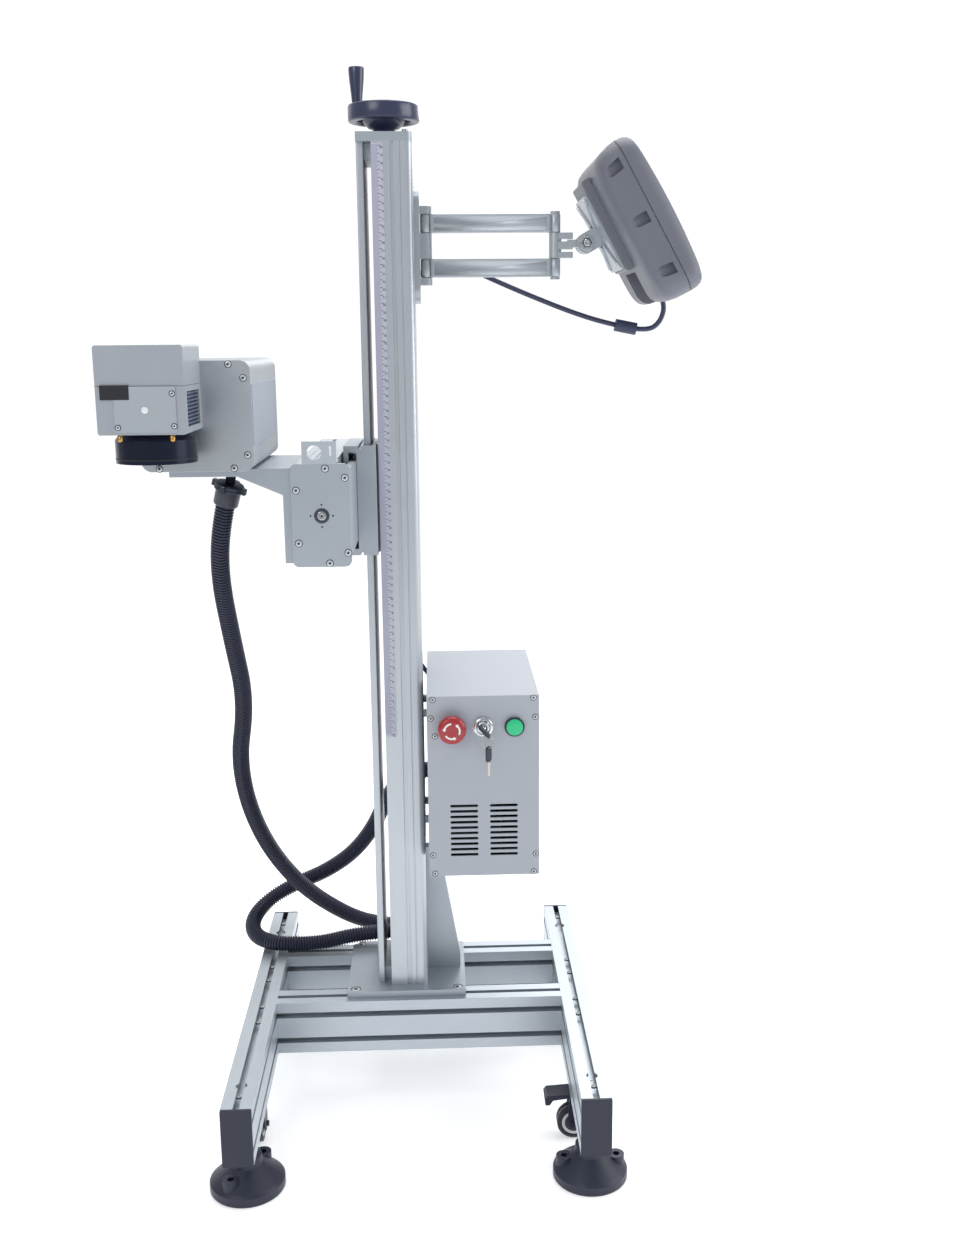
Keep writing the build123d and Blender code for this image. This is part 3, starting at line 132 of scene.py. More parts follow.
# dark tone, light tone, metallic, roughness, grain and bump in mm, then any other setting
finishTable = {
    # clear anodised extrusion: satin, cool grey, fine lines along the press direction
    "anodisedAluminium": ("AEB6BD", "C3CAD0", 0.75, 0.40, 0.9, 0.02, {"stretch": (1, 0.05, 0.05)}),
    # the same along the upright column
    "anodisedColumn": ("B0B6BC", "C4C9CE", 0.75, 0.38, 0.9, 0.02, {"stretch": (1, 1, 0.04)}),
    # milled then anodised plate: duller and even
    "anodisedPlate": ("9DA5AC", "B2B9C0", 0.7, 0.45, 0.6, 0.02),
    # brushed front plate: long side-to-side scratches
    "brushedAluminium": ("A7ADB3", "C6CBCF", 0.9, 0.34, 0.7, 0.03,
                         {"stretch": (0.04, 1, 1), "roughSpread": 0.1}),
    # turned steel: bright, close tool marks
    "machinedSteel": ("8F9498", "B4B8BC", 1.0, 0.30, 0.8, 0.02),
    # zinc-plated screw heads: pale and soft-edged
    "screwSteel": ("B9BEC3", "D2D6DA", 0.5, 0.35, 0.5, 0.01, {"edgeMm": 0.3}),
    # shade inside a hexagon recess
    "socketGrey": ("3A3F4A", "4A505C", 0.3, 0.5, 0.5, 0.01),
    # black oxide on steel: dark with a metal sheen
    "blackOxideSteel": ("3A3D44", "565A62", 0.8, 0.38, 0.7, 0.02),
    # sprayed satin paint on sheet: flat cool grey
    "satinPaint": ("979DA4", "A7ADB4", 0.25, 0.42, 0.5, 0.01),
    # powder coat: fine orange-peel, about a millimetre across
    "powderCoat": ("9EA3AB", "AAAFB7", 0.15, 0.5, 1.1, 0.05),
    # silver paint on cast metal: a slight metal sparkle
    "silverPaint": ("A2A9AF", "BCC2C7", 0.55, 0.36, 0.6, 0.015),
    # moulded ABS: fine spark-eroded grain
    "mouldedAbs": ("62656E", "70737D", 0.0, 0.48, 0.8, 0.03, {"ior": 1.53}),
    # moulded nylon: blue-black, softly glossy
    "blackNylon": ("171B2B", "22273A", 0.0, 0.42, 1.2, 0.04, {"ior": 1.53}),
    # extruded nylon conduit: blue-black ribs with thin highlights
    "conduitNylon": ("191D30", "272C44", 0.0, 0.38, 2.0, 0.03, {"ior": 1.53}),
    # PVC lead: slate blue, low gloss
    "cablePvc": ("2A2E47", "393E5A", 0.0, 0.45, 1.0, 0.02),
    # moulded end cap: dark and matt
    "capPlastic": ("151A2C", "1E2438", 0.0, 0.5, 0.7, 0.03),
    # glass-filled nylon foot: dark and faintly rough
    "footPlastic": ("191D2E", "252A3F", 0.0, 0.45, 0.9, 0.03),
    # pressed phenolic: deep gloss
    "glossPhenolic": ("242944", "313756", 0.0, 0.28, 1.2, 0.02, {"ior": 1.6}),
    # machined acetal: smooth black
    "acetalBlack": ("141416", "202024", 0.0, 0.4, 1.0, 0.02),
    # turned bronze: warm and bright
    "turnedBronze": ("8A6A3A", "B08A52", 1.0, 0.32, 0.6, 0.02),
    # printed ruler strip: pale lilac grey
    "rulerPrint": ("B0B1BE", "BCBDC9", 0.0, 0.5, 0.5, 0.01),
    # the ruler's darker printed band
    "rulerBand": ("9FA0B2", "ACADBE", 0.0, 0.5, 0.5, 0.01),
    # flat print ink
    "printInk": ("1D1E2A", "2A2B38", 0.0, 0.6, 0.5, 0.01),
    # black anodised lens barrel: sharp highlights
    "lensBlack": ("0E1224", "1A2036", 0.6, 0.28, 0.6, 0.01),
    # satin enamel on the scan cover
    "coverPaint": ("9FA6AD", "ABB2B8", 0.3, 0.42, 0.6, 0.01),
    # satin film on the side panel: blue grey
    "sidePanelBlue": ("8C97A6", "98A3B2", 0.1, 0.42, 0.6, 0.01),
    # dyed blue anodising: saturated, metallic
    "blueAnodised": ("27508F", "3B69AE", 0.8, 0.35, 0.5, 0.02),
    # turned brass: yellow and bright
    "brassStud": ("B48A4A", "CFA765", 1.0, 0.28, 0.6, 0.01),
    # chrome plate: mirror-like ring
    "chromeRing": ("B9BCC0", "D5D7DA", 1.0, 0.16, 0.6, 0.005),
    # moulded red button: glossy
    "stopRed": ("8E1A20", "A8262C", 0.0, 0.3, 0.8, 0.01, {"coat": 0.3}),
    # lit green lens: glossy, with its own light
    "startGreen": ("0C9460", "16AE74", 0.0, 0.3, 0.8, 0.01, {"coat": 0.3, "glow": 0.35}),
    # nickel-plated key: warm bright metal
    "keyNickel": ("A5A29A", "C2BFB6", 1.0, 0.25, 0.6, 0.01),
    # black case of the driver: dull
    "driverBlack": ("2C2E33", "3C3E44", 0.4, 0.45, 0.8, 0.02),
    # pale nylon wheel web: matt
    "wheelGrey": ("C6C8CA", "D5D7D9", 0.0, 0.5, 0.8, 0.02),
    # rubber tread: matt black
    "tyreBlack": ("181B26", "232734", 0.0, 0.5, 1.0, 0.03),
    # dark screen glass: smooth
    "screenGlass": ("0B0C0F", "101216", 0.0, 0.12, 0.8, 0.002, {"roughSpread": 0.02}),
    # shade in a seam or recess
    "darkGap": ("101217", "191C22", 0.0, 0.6, 1.0, 0.01),
    # black label film
    "labelBlack": ("17181E", "22242B", 0.0, 0.35, 0.8, 0.005),
    # white print and button
    "labelWhite": ("D9DADC", "E8E9EA", 0.0, 0.4, 0.8, 0.005),
    # the column's finish along the cross slide
    "anodisedCross": ("ACB3BA", "C0C6CC", 0.75, 0.40, 0.9, 0.02, {"stretch": (1, 0.04, 1)}),
    # the rail's finish along the beams
    "anodisedBeam": ("AEB6BD", "C3CAD0", 0.75, 0.40, 0.9, 0.02, {"stretch": (0.04, 1, 1)}),
}
finishes = {}
for name, spec in finishTable.items():
    finishes[name] = surfaceFinish(name, *spec[:6], **(spec[6] if len(spec) > 6 else {}))
nodeFinish = {
    "anodisedAluminium": ["base_rails", "sensor_bracket"],
    "anodisedColumn": ["column_body", "column_cover_plate"],
    "anodisedCross": ["cross_body"],
    "anodisedBeam": ["cross_beams"],
    "anodisedPlate": ["base_plate", "column_end_plate", "lift_bearings", "column_gusset", "lift_carriage",
                      "cross_carriage", "cross_end_plates", "laser_bracket", "cross_cover_plate"],
    "brushedAluminium": ["laser_end_plates"], "rulerPrint": ["column_ruler"],
    "machinedSteel": ["lift_screw", "cross_screw", "head_screws", "frame_screws"],
    "capPlastic": ["rail_end_caps"], "footPlastic": ["levelling_feet"], "acetalBlack": ["slide_shoes"],
    "glossPhenolic": ["handwheel_handle", "handwheel"],
    "turnedBronze": ["screw_nuts"], "satinPaint": ["laser_housing", "scan_head"],
    "coverPaint": ["scan_cover"],
    "blueAnodised": ["scan_heat_sink"], "lensBlack": ["lens"],
    "driverBlack": ["laser_module", "box_electronics"],
    "blackNylon": ["hose_gland"], "powderCoat": ["box_shell", "box_panel"], "chromeRing": ["panel_bezels"],
    "stopRed": ["estop_button"], "startGreen": ["start_button"], "keyNickel": ["key", "spare_key"],
    "silverPaint": ["arm_wall_plate", "arm_bars", "arm_end_bracket", "tilt_bracket"],
    "mouldedAbs": ["monitor_bezel", "monitor_shell"], "screenGlass": ["monitor_screen"],
    "cablePvc": ["cable_ferrite"],
}


def dress(obj, mat):
    obj.data.materials.clear()
    obj.data.materials.append(mat)


for finishName, names in nodeFinish.items():
    for n in names:
        dress(nodes[n], finishes[finishName])
for k in (1, 2, 3, 4):
    dress(nodes[f"castor_fork_{k}"], finishes["blackNylon"])
    dress(nodes[f"castor_wheel_{k}"], finishes["wheelGrey"])
print("finishes on the frame")


def pieceFrom(name, verts, faces, mat, body, smooth=True):
    me = bpy.data.meshes.new(name)
    me.from_pydata([tuple(v) for v in verts], [], faces)
    me.validate()
    me.polygons.foreach_set("use_smooth", [smooth] * len(me.polygons))
    if smooth:
        me.set_sharp_from_angle(angle=sharpAngle)
    ob = bpy.data.objects.new(name, me)
    bpy.context.collection.objects.link(ob)
    me.materials.append(mat)
    if body:
        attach(ob, body)
    return ob


def axesFor(direction):
    d = Vector(direction).normalized()
    u = d.cross(Vector((0, 0, 1)) if abs(d.z) < 0.9 else Vector((1, 0, 0))).normalized()
    return u, d.cross(u), d


def loftRings(name, rings, mat, body):
    # rings of points joined by faces, closed at both ends
    n, rows = len(rings[0]), len(rings)
    faces = []
    for i in range(rows - 1):
        for s in range(n):
            a, b = i * n + s, i * n + (s + 1) % n
            faces.append((a, b, b + n, a + n))
    faces += [tuple(reversed(range(n))), tuple(range((rows - 1) * n, rows * n))]
    return pieceFrom(name, [p for r in rings for p in r], faces, mat, body)


def roundCorners(x0, x1, y0, y1, corner, count):
    # round corners of a rectangle, as centre and direction: count points to each
    step = 90 / (count - 1)
    for cx, cy, start in ((x1 - corner, y1 - corner, 0), (x0 + corner, y1 - corner, 90),
                          (x0 + corner, y0 + corner, 180), (x1 - corner, y0 + corner, 270)):
        for k in range(count):
            a = radians(start + step * k)
            yield cx, cy, cos(a), sin(a)


def turned(name, place, direction, profile, mat, body, sides=40, flute=None):
    # a turned piece: (height, radius) pairs in mm along a direction
    u, v, d = axesFor(direction)
    rings = []
    for h, r in profile:
        ring = []
        for s in range(sides):
            a = 2 * pi * s / sides
            rr = r - (flute(h, a) if flute else 0)
            ring.append(Vector(place) + d * (h * mm) + (u * cos(a) + v * sin(a)) * (rr * mm))
        rings.append(ring)
    return loftRings(name, rings, mat, body)


def plate(name, place, direction, across, size, thick, corner, mat, body, edge=0.4):
    # a thin plate with round corners and a soft front edge, sizes in mm
    d, x = Vector(direction).normalized(), Vector(across).normalized()
    y = d.cross(x)
    w, h = size[0] / 2, size[1] / 2
    rings = []
    for height, inset in ((0, 0), (thick - edge, 0), (thick - edge * 0.3, edge * 0.3), (thick, edge)):
        r = corner - inset
        rings.append([Vector(place) + d * (height * mm) + x * ((cx + a * r) * mm) + y * ((cy + b * r) * mm)
                      for cx, cy, a, b in roundCorners(-w, w, -h, h, corner, 7)])
    ob = loftRings(name, rings, mat, body)
    ob.data.polygons[-1].use_smooth = False
    return ob


def joined(name, objs, body):
    # several small pieces of one kind as one piece
    verts, faces, mats, slots = [], [], [], []
    for o in objs:
        base = len(verts)
        verts += [v.co.copy() for v in o.data.vertices]
        mat = o.data.materials[0]
        if mat not in mats:
            mats.append(mat)
        for p in o.data.polygons:
            faces.append(tuple(base + i for i in p.vertices))
            slots.append((mats.index(mat), p.use_smooth))
    me = bpy.data.meshes.new(name)
    me.from_pydata([tuple(v) for v in verts], [], faces)
    for m in mats:
        me.materials.append(m)
    for p, (k, smooth) in zip(me.polygons, slots):
        p.material_index, p.use_smooth = k, smooth
    for o in objs:
        bpy.data.objects.remove(o)
    ob = bpy.data.objects.new(name, me)
    bpy.context.collection.objects.link(ob)
    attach(ob, body)
    return ob


def hullPiece(name, points, mat):
    # the convex hull of a few corners, as a cutter or a small block
    bm = bmesh.new()
    for p in points:
        bm.verts.new(p)
    bmesh.ops.convex_hull(bm, input=bm.verts)
    me = bpy.data.meshes.new(name)
    bm.to_mesh(me)
    bm.free()
    me.materials.append(mat)
    ob = bpy.data.objects.new(name, me)
    bpy.context.collection.objects.link(ob)
    return ob


def carve(target, cutters):
    # the cutters taken out of the target, and the result kept as its mesh
    for c in cutters:
        mod = target.modifiers.new("cut", "BOOLEAN")
        mod.operation, mod.solver, mod.object = "DIFFERENCE", "EXACT", c
    graph = bpy.context.evaluated_depsgraph_get()
    fresh = bpy.data.meshes.new_from_object(target.evaluated_get(graph))
    target.modifiers.clear()
    target.data = fresh
    fresh.polygons.foreach_set("use_smooth", [True] * len(fresh.polygons))
    fresh.set_sharp_from_angle(angle=sharpAngle)
    for c in cutters:
        bpy.data.objects.remove(c)


def capScrew(place, direction, radius, height):
    # socket cap screw in its counterbore: painted shade ring, bright chamfered head, painted shade in the
    # hexagon recess
    rim = turned("shadeRingOfScrew", place, direction, [(0, radius + 0.9), (0.1, radius + 0.9)],
                 finishes["darkGap"], None, 24)
    profile = [(0, radius), (height - 0.6, radius), (height, radius - 0.6), (height, radius * 0.3)]
    head = turned("headOfScrew", place, direction, profile, finishes["screwSteel"], None, 24)
    over = Vector(place) + Vector(direction).normalized() * ((height + 0.02) * mm)
    socket = turned("socketOfScrew", over, direction, [(0, radius * 0.5), (0.06, radius * 0.5)],
                    finishes["socketGrey"], None, 6)
    return [rim, head, socket]


def capScrews(places, direction, radius, height):
    return [o for p in places for o in capScrew(tuple(c * mm for c in p), direction, radius, height)]


def screwSet(name, places, direction, radius, height, body):
    return joined(name, capScrews(places, direction, radius, height), body)


def curvePoints(points, resolution):
    # the smooth line of a route: its NURBS spline read back as points
    cu = bpy.data.curves.new("route", "CURVE")
    cu.dimensions = "3D"
    sp = cu.splines.new("NURBS")
    sp.points.add(len(points) - 1)
    for p, co in zip(sp.points, points):
        p.co = (co[0] * mm, co[1] * mm, co[2] * mm, 1)
    sp.order_u = 3
    sp.use_endpoint_u = True
    cu.resolution_u = resolution
    ob = bpy.data.objects.new("route", cu)
    bpy.context.collection.objects.link(ob)
    me = bpy.data.meshes.new_from_object(ob)
    out = [v.co.copy() for v in me.vertices]
    bpy.data.objects.remove(ob)
    return out


def evenSteps(points, step):
    # the same line cut into even steps
    total = sum((b - a).length for a, b in zip(points, points[1:]))
    count = max(2, round(total / step))
    gap, out, carried, k = total / count, [points[0].copy()], 0.0, 1
    at = points[0].copy()
    while len(out) < count and k < len(points):
        left = (points[k] - at).length
        if carried + left >= gap:
            at = at.lerp(points[k], (gap - carried) / left)
            out.append(at.copy())
            carried = 0.0
        else:
            carried += left
            at = points[k].copy()
            k += 1
    out.append(points[-1].copy())
    return out


def tubeAlong(name, points, radiusOf, sides, mat):
    # rings carried along the line without twisting
    rings, across = [], None
    for i, p in enumerate(points):
        d = (points[min(i + 1, len(points) - 1)] - points[max(i - 1, 0)]).normalized()
        if across is None:
            across = d.cross(Vector((0, 1, 0.3))).normalized()
        across = (across - d * across.dot(d)).normalized()
        other = d.cross(across)
        ring = []
        for s in range(sides):
            a = 2 * pi * s / sides
            r = radiusOf(i, a)
            ring.append(p + across * (r * cos(a)) + other * (r * sin(a)))
        rings.append(ring)
    return loftRings(name, rings, mat, None)


# laser hose: corrugated conduit with a lengthways split, from the gland under the laser to the control box
hose = {"diameter": 25.0, "ribPitch": 4.2, "ribDepth": 2.4, "sides": 24, "splitPoint": 0.095,
        "intoCollar": 24, "grippedTo": 24, "restsAt": (-0.117, 0.232, 0.174), "splitAt": 1.9,
        "splitDeep": 1.6,
        "splitHalf": 0.2}
hoseRoute = [
    (-222.5, -108.0, 944.0),
    (-241.0, -99.0, 884.0),
    (-252.0, -76.0, 806.0),
    (-246.0, -30.0, 706.0),
    (-239.0, 22.0, 604.0),
    (-264.0, 76.0, 488.0),
    (-246.0, 134.0, 360.0),
    (-194.0, 190.0, 250.0),
    (-117.0, 232.0, 174.0),
    (-60.0, 255.0, 148.0),
    (-8.0, 262.0, 140.0),
    (26.0, 232.0, 146.0),
    (28.0, 188.0, 164.0),
    (-4.0, 156.0, 182.0),
    (-58.0, 151.0, 184.0),
    (-110.0, 149.0, 179.5),
    (-150.0, 148.0, 170.0),
    (-192.0, 146.0, 168.5),
    (-234.0, 150.0, 168.5),
    (-268.0, 178.0, 170.0),
    (-276.0, 220.0, 180.0),
    (-250.0, 250.0, 202.0),
    (-203.0, 257.0, 226.0),
    (-156.0, 254.0, 246.0),
    (-108.0, 244.0, 282.0),
    (-72.0, 226.0, 334.0),
    (-52.0, 206.0, 386.0),
    (-26.0, 190.0, 428.0),
    (27.0, 184.0, 446.0),
]
hoseLine = evenSteps(curvePoints(hoseRoute, 24), hose["ribPitch"] * mm / 4)


def hoseRadius(i, a):
    r = (hose["diameter"] / 2 - (0, 0.1, 1, 0.9)[i % 4] * hose["ribDepth"]) * mm
    inSplit = abs(((a - hose["splitAt"] + pi) % (2 * pi)) - pi) < hose["splitHalf"]
    return r - (hose["splitDeep"] * mm if inSplit else 0)


cut = (int(len(hoseLine) * hose["splitPoint"]) // 4) * 4
upperLine, lowerLine = hoseLine[hose["intoCollar"]:cut + 1], hoseLine[cut:]
hoseUpper = tubeAlong("hoseUpper", upperLine, hoseRadius, hose["sides"], finishes["conduitNylon"])
hoseLower = tubeAlong("hoseLower", lowerLine, hoseRadius, hose["sides"], finishes["conduitNylon"])


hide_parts("laser_hose")
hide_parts("laser_hose")
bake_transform(hoseUpper)
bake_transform(hoseLower)

# monitor cable: smooth PVC lead with a ferrite
cable = {"diameter": 7.0, "sides": 16, "step": 0.004, "cuts": (0.322, 0.200, 0.060)}
cableRoute = [
    (346.7, 72.0, 1181.2),
    (361.3, 72.0, 1155.0),
    (355.0, 72.0, 1128.0),
    (336.0, 72.0, 1115.5),
    (280.0, 72.0, 1126.7),
    (233.0, 72.0, 1141.0),
    (172.0, 74.0, 1165.0),
    (122.0, 86.0, 1187.0),
    (86.0, 94.0, 1204.0),
    (54.0, 112.0, 1210.0),
    (26.0, 136.0, 1205.0),
    (-2.0, 153.0, 1180.0),
    (-16.0, 155.0, 1122.0),
    (-12.0, 149.0, 1048.0),
    (-14.0, 149.0, 966.0),
    (-16.0, 152.0, 876.0),
    (-14.0, 149.0, 786.0),
    (-12.0, 152.0, 696.0),
    (-4.0, 164.0, 632.0),
    (27.0, 178.0, 592.0),
]
cableLine = evenSteps(curvePoints(cableRoute, 20), cable["step"])


def cutAt(line, limit):
    return next(i for i, p in enumerate(line) if p.x < limit)


cutA, cutB, cutC = (cutAt(cableLine, limit) for limit in cable["cuts"])
cableSpans = [("cableAtMonitor", cableLine[:cutA + 1], ("monitor", "head")),
              ("cableAtHead", cableLine[cutA:cutB + 1], ("head", "arm")),
              ("cableAtArm", cableLine[cutB:cutC + 1], ("arm", "root")),
              ("cableAtColumn", cableLine[cutC:], None)]
for name, line, pair in cableSpans:
    span = tubeAlong(name, line, lambda i, a: cable["diameter"] / 2 * mm, cable["sides"],
                     finishes["cablePvc"])
    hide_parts("monitor_cable")
    if pair:
        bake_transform(span)
    else:
        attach(span, "root")
print("cords laid", len(hoseLine), len(cableLine))

# studio: pale floor, a glowing upright wall behind, soft lights
floorMat, ft = newFinish("studioPaper")
paper = addNode(ft, "ShaderNodeBsdfPrincipled",
                {"Base Color": toLinear("F4F5F6"), "Roughness": 0.9, "Emission Color": (1, 1, 1, 1),
                 "Emission Strength": 0.4})
addNode(ft, "ShaderNodeOutputMaterial", None, {"Surface": paper.outputs["BSDF"]})
floor = pieceFrom("studioFloor", [(-6, -6, 0), (6, -6, 0), (6, 6, 0), (-6, 6, 0)], [(0, 1, 2, 3)], floorMat,
                  None, False)
wallMat, wt = newFinish("studioWall")
glow = addNode(wt, "ShaderNodeEmission", {"Color": (1, 1, 1, 1), "Strength": 1.05})
addNode(wt, "ShaderNodeOutputMaterial", None, {"Surface": glow.outputs["Emission"]})
wall = pieceFrom("studioWall", [(-9, 5.9, -0.5), (9, 5.9, -0.5), (9, 5.9, 7), (-9, 5.9, 7)], [(0, 1, 2, 3)],
                 wallMat, None, False)
world = bpy.data.worlds.new("studioWorld")
bpy.context.scene.world = world
world.use_nodes = True
world.node_tree.nodes["Background"].inputs[0].default_value = (0.93, 0.95, 1.0, 1)
world.node_tree.nodes["Background"].inputs[1].default_value = 0.52
lamps = {"key": ((-1.6, -2.4, 2.4), 22, 1.4), "right": ((2.6, -0.4, 1.6), 34, 1.8),
         "top": ((0.0, 0.6, 3.4), 60, 2.4), "back": ((0.8, 2.6, 2.4), 22, 1.6)}
for lampName, (place, power, size) in lamps.items():
    ld = bpy.data.lights.new(lampName, "AREA")
    ld.energy, ld.size = power, size
    lo = bpy.data.objects.new(lampName, ld)
    bpy.context.collection.objects.link(lo)
    lo.location = place
    lo.rotation_euler = (Vector((0, 0, 0.7)) - Vector(place)).to_track_quat("-Z", "Y").to_euler()
bpy.context.scene.view_settings.view_transform = "Standard"
print("studio set")

# ruler: a dark band on the left and a tick each 10 mm with small numerals
ruler = {"front": 6.35, "ink": 6.28, "zero": 554.6, "step": 10.0, "count": 80, "tickFrom": -32.6,
         "shortTo": -29.4,
         "longTo": -27.6, "digitsFrom": -29.0, "digitPitch": 2.0, "digitWide": 1.2, "digitHigh": 2.4,
         "pen": 0.18}
plate("rulerBandStrip", (-0.0366, ruler["front"] * mm + 0.00005, 0.9555), (0, -1, 0), (1, 0, 0), (7.4, 800),
      0.08, 0.4, finishes["rulerBand"], "root", 0.02)
segments = {"0": "abcdef", "1": "bc", "2": "abged", "3": "abgcd", "4": "fgbc", "5": "afgcd", "6": "afgedc",
            "7": "abc", "8": "abcdefg", "9": "abcdfg"}
strokes = {"a": (0, 1, 1, 1), "b": (1, 1, 1, 0.5), "c": (1, 0.5, 1, 0), "d": (0, 0, 1, 0),
           "e": (0, 0.5, 0, 0), "f": (0, 1, 0, 0.5), "g": (0, 0.5, 1, 0.5)}
verts, faces = [], []


def inkBar(x0, z0, x1, z1):
    base = len(verts)
    for x, z in ((x0, z0), (x1, z0), (x1, z1), (x0, z1)):
        verts.append((x * mm, ruler["ink"] * mm, z * mm))
    faces.append((base, base + 1, base + 2, base + 3))


for k in range(ruler["count"] + 1):
    z = ruler["zero"] + k * ruler["step"]
    inkBar(ruler["tickFrom"], z - 0.35, ruler["shortTo"] if k % 5 else ruler["longTo"], z + 0.35)
    if k < ruler["count"]:
        inkBar(ruler["tickFrom"], z + 4.7, -31.0, z + 5.2)
    for place, digit in enumerate(str(k)):
        left = ruler["digitsFrom"] + place * ruler["digitPitch"]
        for key in segments[digit]:
            x0, z0, x1, z1 = strokes[key]
            a, b = left + x0 * ruler["digitWide"], left + x1 * ruler["digitWide"]
            c, d = z - 3.6 + z0 * ruler["digitHigh"], z - 3.6 + z1 * ruler["digitHigh"]
            pen = ruler["pen"]
            inkBar(min(a, b) - pen, min(c, d) - pen, max(a, b) + pen, max(c, d) + pen)
pieceFrom("rulerMarks", verts, faces, finishes["printInk"], "root", False)
print("ruler marked")

# screws of the frame, the slide, the laser and the scan head
screwSet("railScrews", [(x, y, 150.2) for x in (230, -230) for y in (-262, -70, -25, 58, 102, 258)],
         (0, 0, 1), 3.1, 2.6, "root")
screwSet("plateScrews", [(x, y, 160.2) for x in (-94, 57) for y in (-3, 147)], (0, 0, 1), 6.3, 4.4, "root")
screwSet("gussetScrews", [(13.4 + 12 * k, 71, 165.2) for k in (1, 3)], (0, 0, 1), 2.4, 1.5, "root")
slideScrews = [(-100.9, -155, 950.3), (-76.7, -155, 938.5), (-138, -155, 923.3), (-137, -155, 856.4),
               (-75.1, -155, 843.7), (-98.6, -155, 830.7)]
laserScrews = [(-211.2, -180, 1079.5), (-193.8, -180, 1063.1), (-192.4, -180, 970.2), (-209.5, -180, 954.4),
               (-300.3, -180, 954.4)]
laserBack = [(-211.2, 1078), (-193.8, 1063), (-192.4, 970), (-300.3, 956), (-314, 1066)]
coverScrews = [(-258.8, -290.5, 1049.3), (-321.4, -290.5, 1011.6), (-258.1, -290.5, 1012.8)]
allHeads = capScrews(slideScrews, (0, -1, 0), 3.9, 2.2)
allHeads += capScrews(laserScrews, (0, -1, 0), 3.6, 1.8)
allHeads += capScrews(coverScrews, (0, -1, 0), 2.6, 1.2)
allHeads += capScrews([(x, 275.0, z) for x, _, z in slideScrews], (0, 1, 0), 3.9, 2.2)
allHeads += capScrews([(x, 80.0, z) for x, z in laserBack], (0, 1, 0), 3.6, 1.8)
studs = [turned("stud", (x * mm, -0.284, 1.003), (0, 0, -1), [(0, 3.2), (6.5, 3.2), (7.6, 2.6), (8, 1.6)],
                finishes["brassStud"], None, 6) for x in (-321, -262)]
allHeads += studs
headScrews = joined("headScrewSet", allHeads, "slide")
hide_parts("head_screws")

# bearing ring and the four small holes round the cross spindle's end
turned("crossBearingRing", (-0.107, -0.155, 0.891), (0, -1, 0),
       [(0, 9.6), (0.8, 9.6), (1.0, 9.2), (1.0, 7.0), (0.2, 6.4)], finishes["blackOxideSteel"], "slide", 40)
turned("crossSpindleFace", (-0.107, -0.1545, 0.891), (0, -1, 0),
       [(0, 6.0), (0.6, 6.0), (1.0, 5.4), (1.0, 2.0), (0.3, 0.6)], finishes["machinedSteel"], "cross_drive",
       32)
holes = [turned("smallHole", ((-107 + 14 * cos(a)) * mm, -0.15502, (891 + 14 * sin(a)) * mm), (0, -1, 0),
                [(0, 1.2), (0.06, 1.2)], finishes["darkGap"], None, 14) for a in (0, pi / 2, pi, 3 * pi / 2)]
joined("crossSmallHoles", holes, "slide")

# laser: blank side panel, scan head seam, blank label and indicator
plate("laserSidePanel", (-0.185, -0.052, 1.0175), (1, 0, 0), (0, 1, 0), (246, 75), 0.6, 2.0,
      finishes["sidePanelBlue"], "slide")
plate("laserSidePanelFar", (-0.322, -0.052, 1.0175), (-1, 0, 0), (0, -1, 0), (246, 75), 0.5, 2.0,
      finishes["sidePanelBlue"], "slide")
plate("scanHeadLabel", (-0.3233, -0.28902, 1.0508), (0, -1, 0), (1, 0, 0), (32.6, 16.4), 1.95, 0.5,
      finishes["labelBlack"], "slide", 0.1)
turned("scanHeadButton", (-0.2903, -0.2905, 1.031), (0, -1, 0),
       [(0, 4.0), (0.7, 3.8), (1.1, 2.8), (1.2, 1.0)], finishes["labelWhite"], "slide", 28)
plate("scanHeadSeam", (-0.295, -0.28902, 1.0577), (0, -1, 0), (1, 0, 0), (99.0, 0.5), 0.05, 0.2,
      finishes["darkGap"], "slide", 0.01)
plate("scanHeadSeamSide", (-0.24498, -0.2345, 1.0577), (1, 0, 0), (0, 1, 0), (108.0, 0.5), 0.05, 0.2,
      finishes["darkGap"], "slide", 0.01)
turned("lensRing", (-0.291, -0.2345, 0.974), (0, 0, -1), [(0, 47.0), (0.4, 47.35), (1.2, 47.35), (1.6, 47.0)],
       finishes["darkGap"], "slide", 64)
print("laser and slide detailed")

# control box: panel screws, stop button with arrows, lit start button, key switch
screwSet("panelScrewSet", [(x, -65, z)
                           for x, z in ((27.5, 624.1), (166.2, 624.8), (24.4, 597.7), (168.8, 597.5),
                                        (29.9, 572.3), (24.7, 397.9), (169.3, 397.3), (27.2, 370.6),
                                        (166.3, 370.6))], (0, -1, 0), 3.4, 1.0, "root")
stop = {"x": 53.3, "z": 585.0, "out": 24.0, "arrow": 10.6}
stopFront = -65 - stop["out"]
mushroom = turned("stopMushroom", (stop["x"] * mm, -0.087 + 0.023, stop["z"] * mm), (0, -1, 0),
                  [(0, 8), (10.5, 8), (10.6, 17.5), (12.5, 19.8), (17.5, 19.8), (20.0, 19.0), (22.2, 16.8),
                   (23.0, 14.0), (22.6, 4.0), (22.5, 0.5)], finishes["stopRed"], "estop", 96,
                  lambda h, a: 0.5 * (0.5 + 0.5 * cos(40 * a)) if 12 < h < 18 else 0)
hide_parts("estop_button")
arcVerts, arcFaces = [], []
for third in range(3):
    base = len(arcVerts)
    for k in range(13):
        a = radians(95 + 120 * third + 7.2 * k)
        wide = 1.25 if k < 10 else (2.6, 1.4, 0.1)[k - 10]
        for r in (stop["arrow"] - wide, stop["arrow"] + wide):
            arcVerts.append(((stop["x"] + r * cos(a)) * mm, (stopFront + 1.88) * mm,
                             (stop["z"] + r * sin(a)) * mm))
    for k in range(12):
        arcFaces.append((base + 2 * k, base + 2 * k + 1, base + 2 * k + 3, base + 2 * k + 2))
pieceFrom("stopArrows", arcVerts, arcFaces, finishes["labelWhite"], "estop", False)
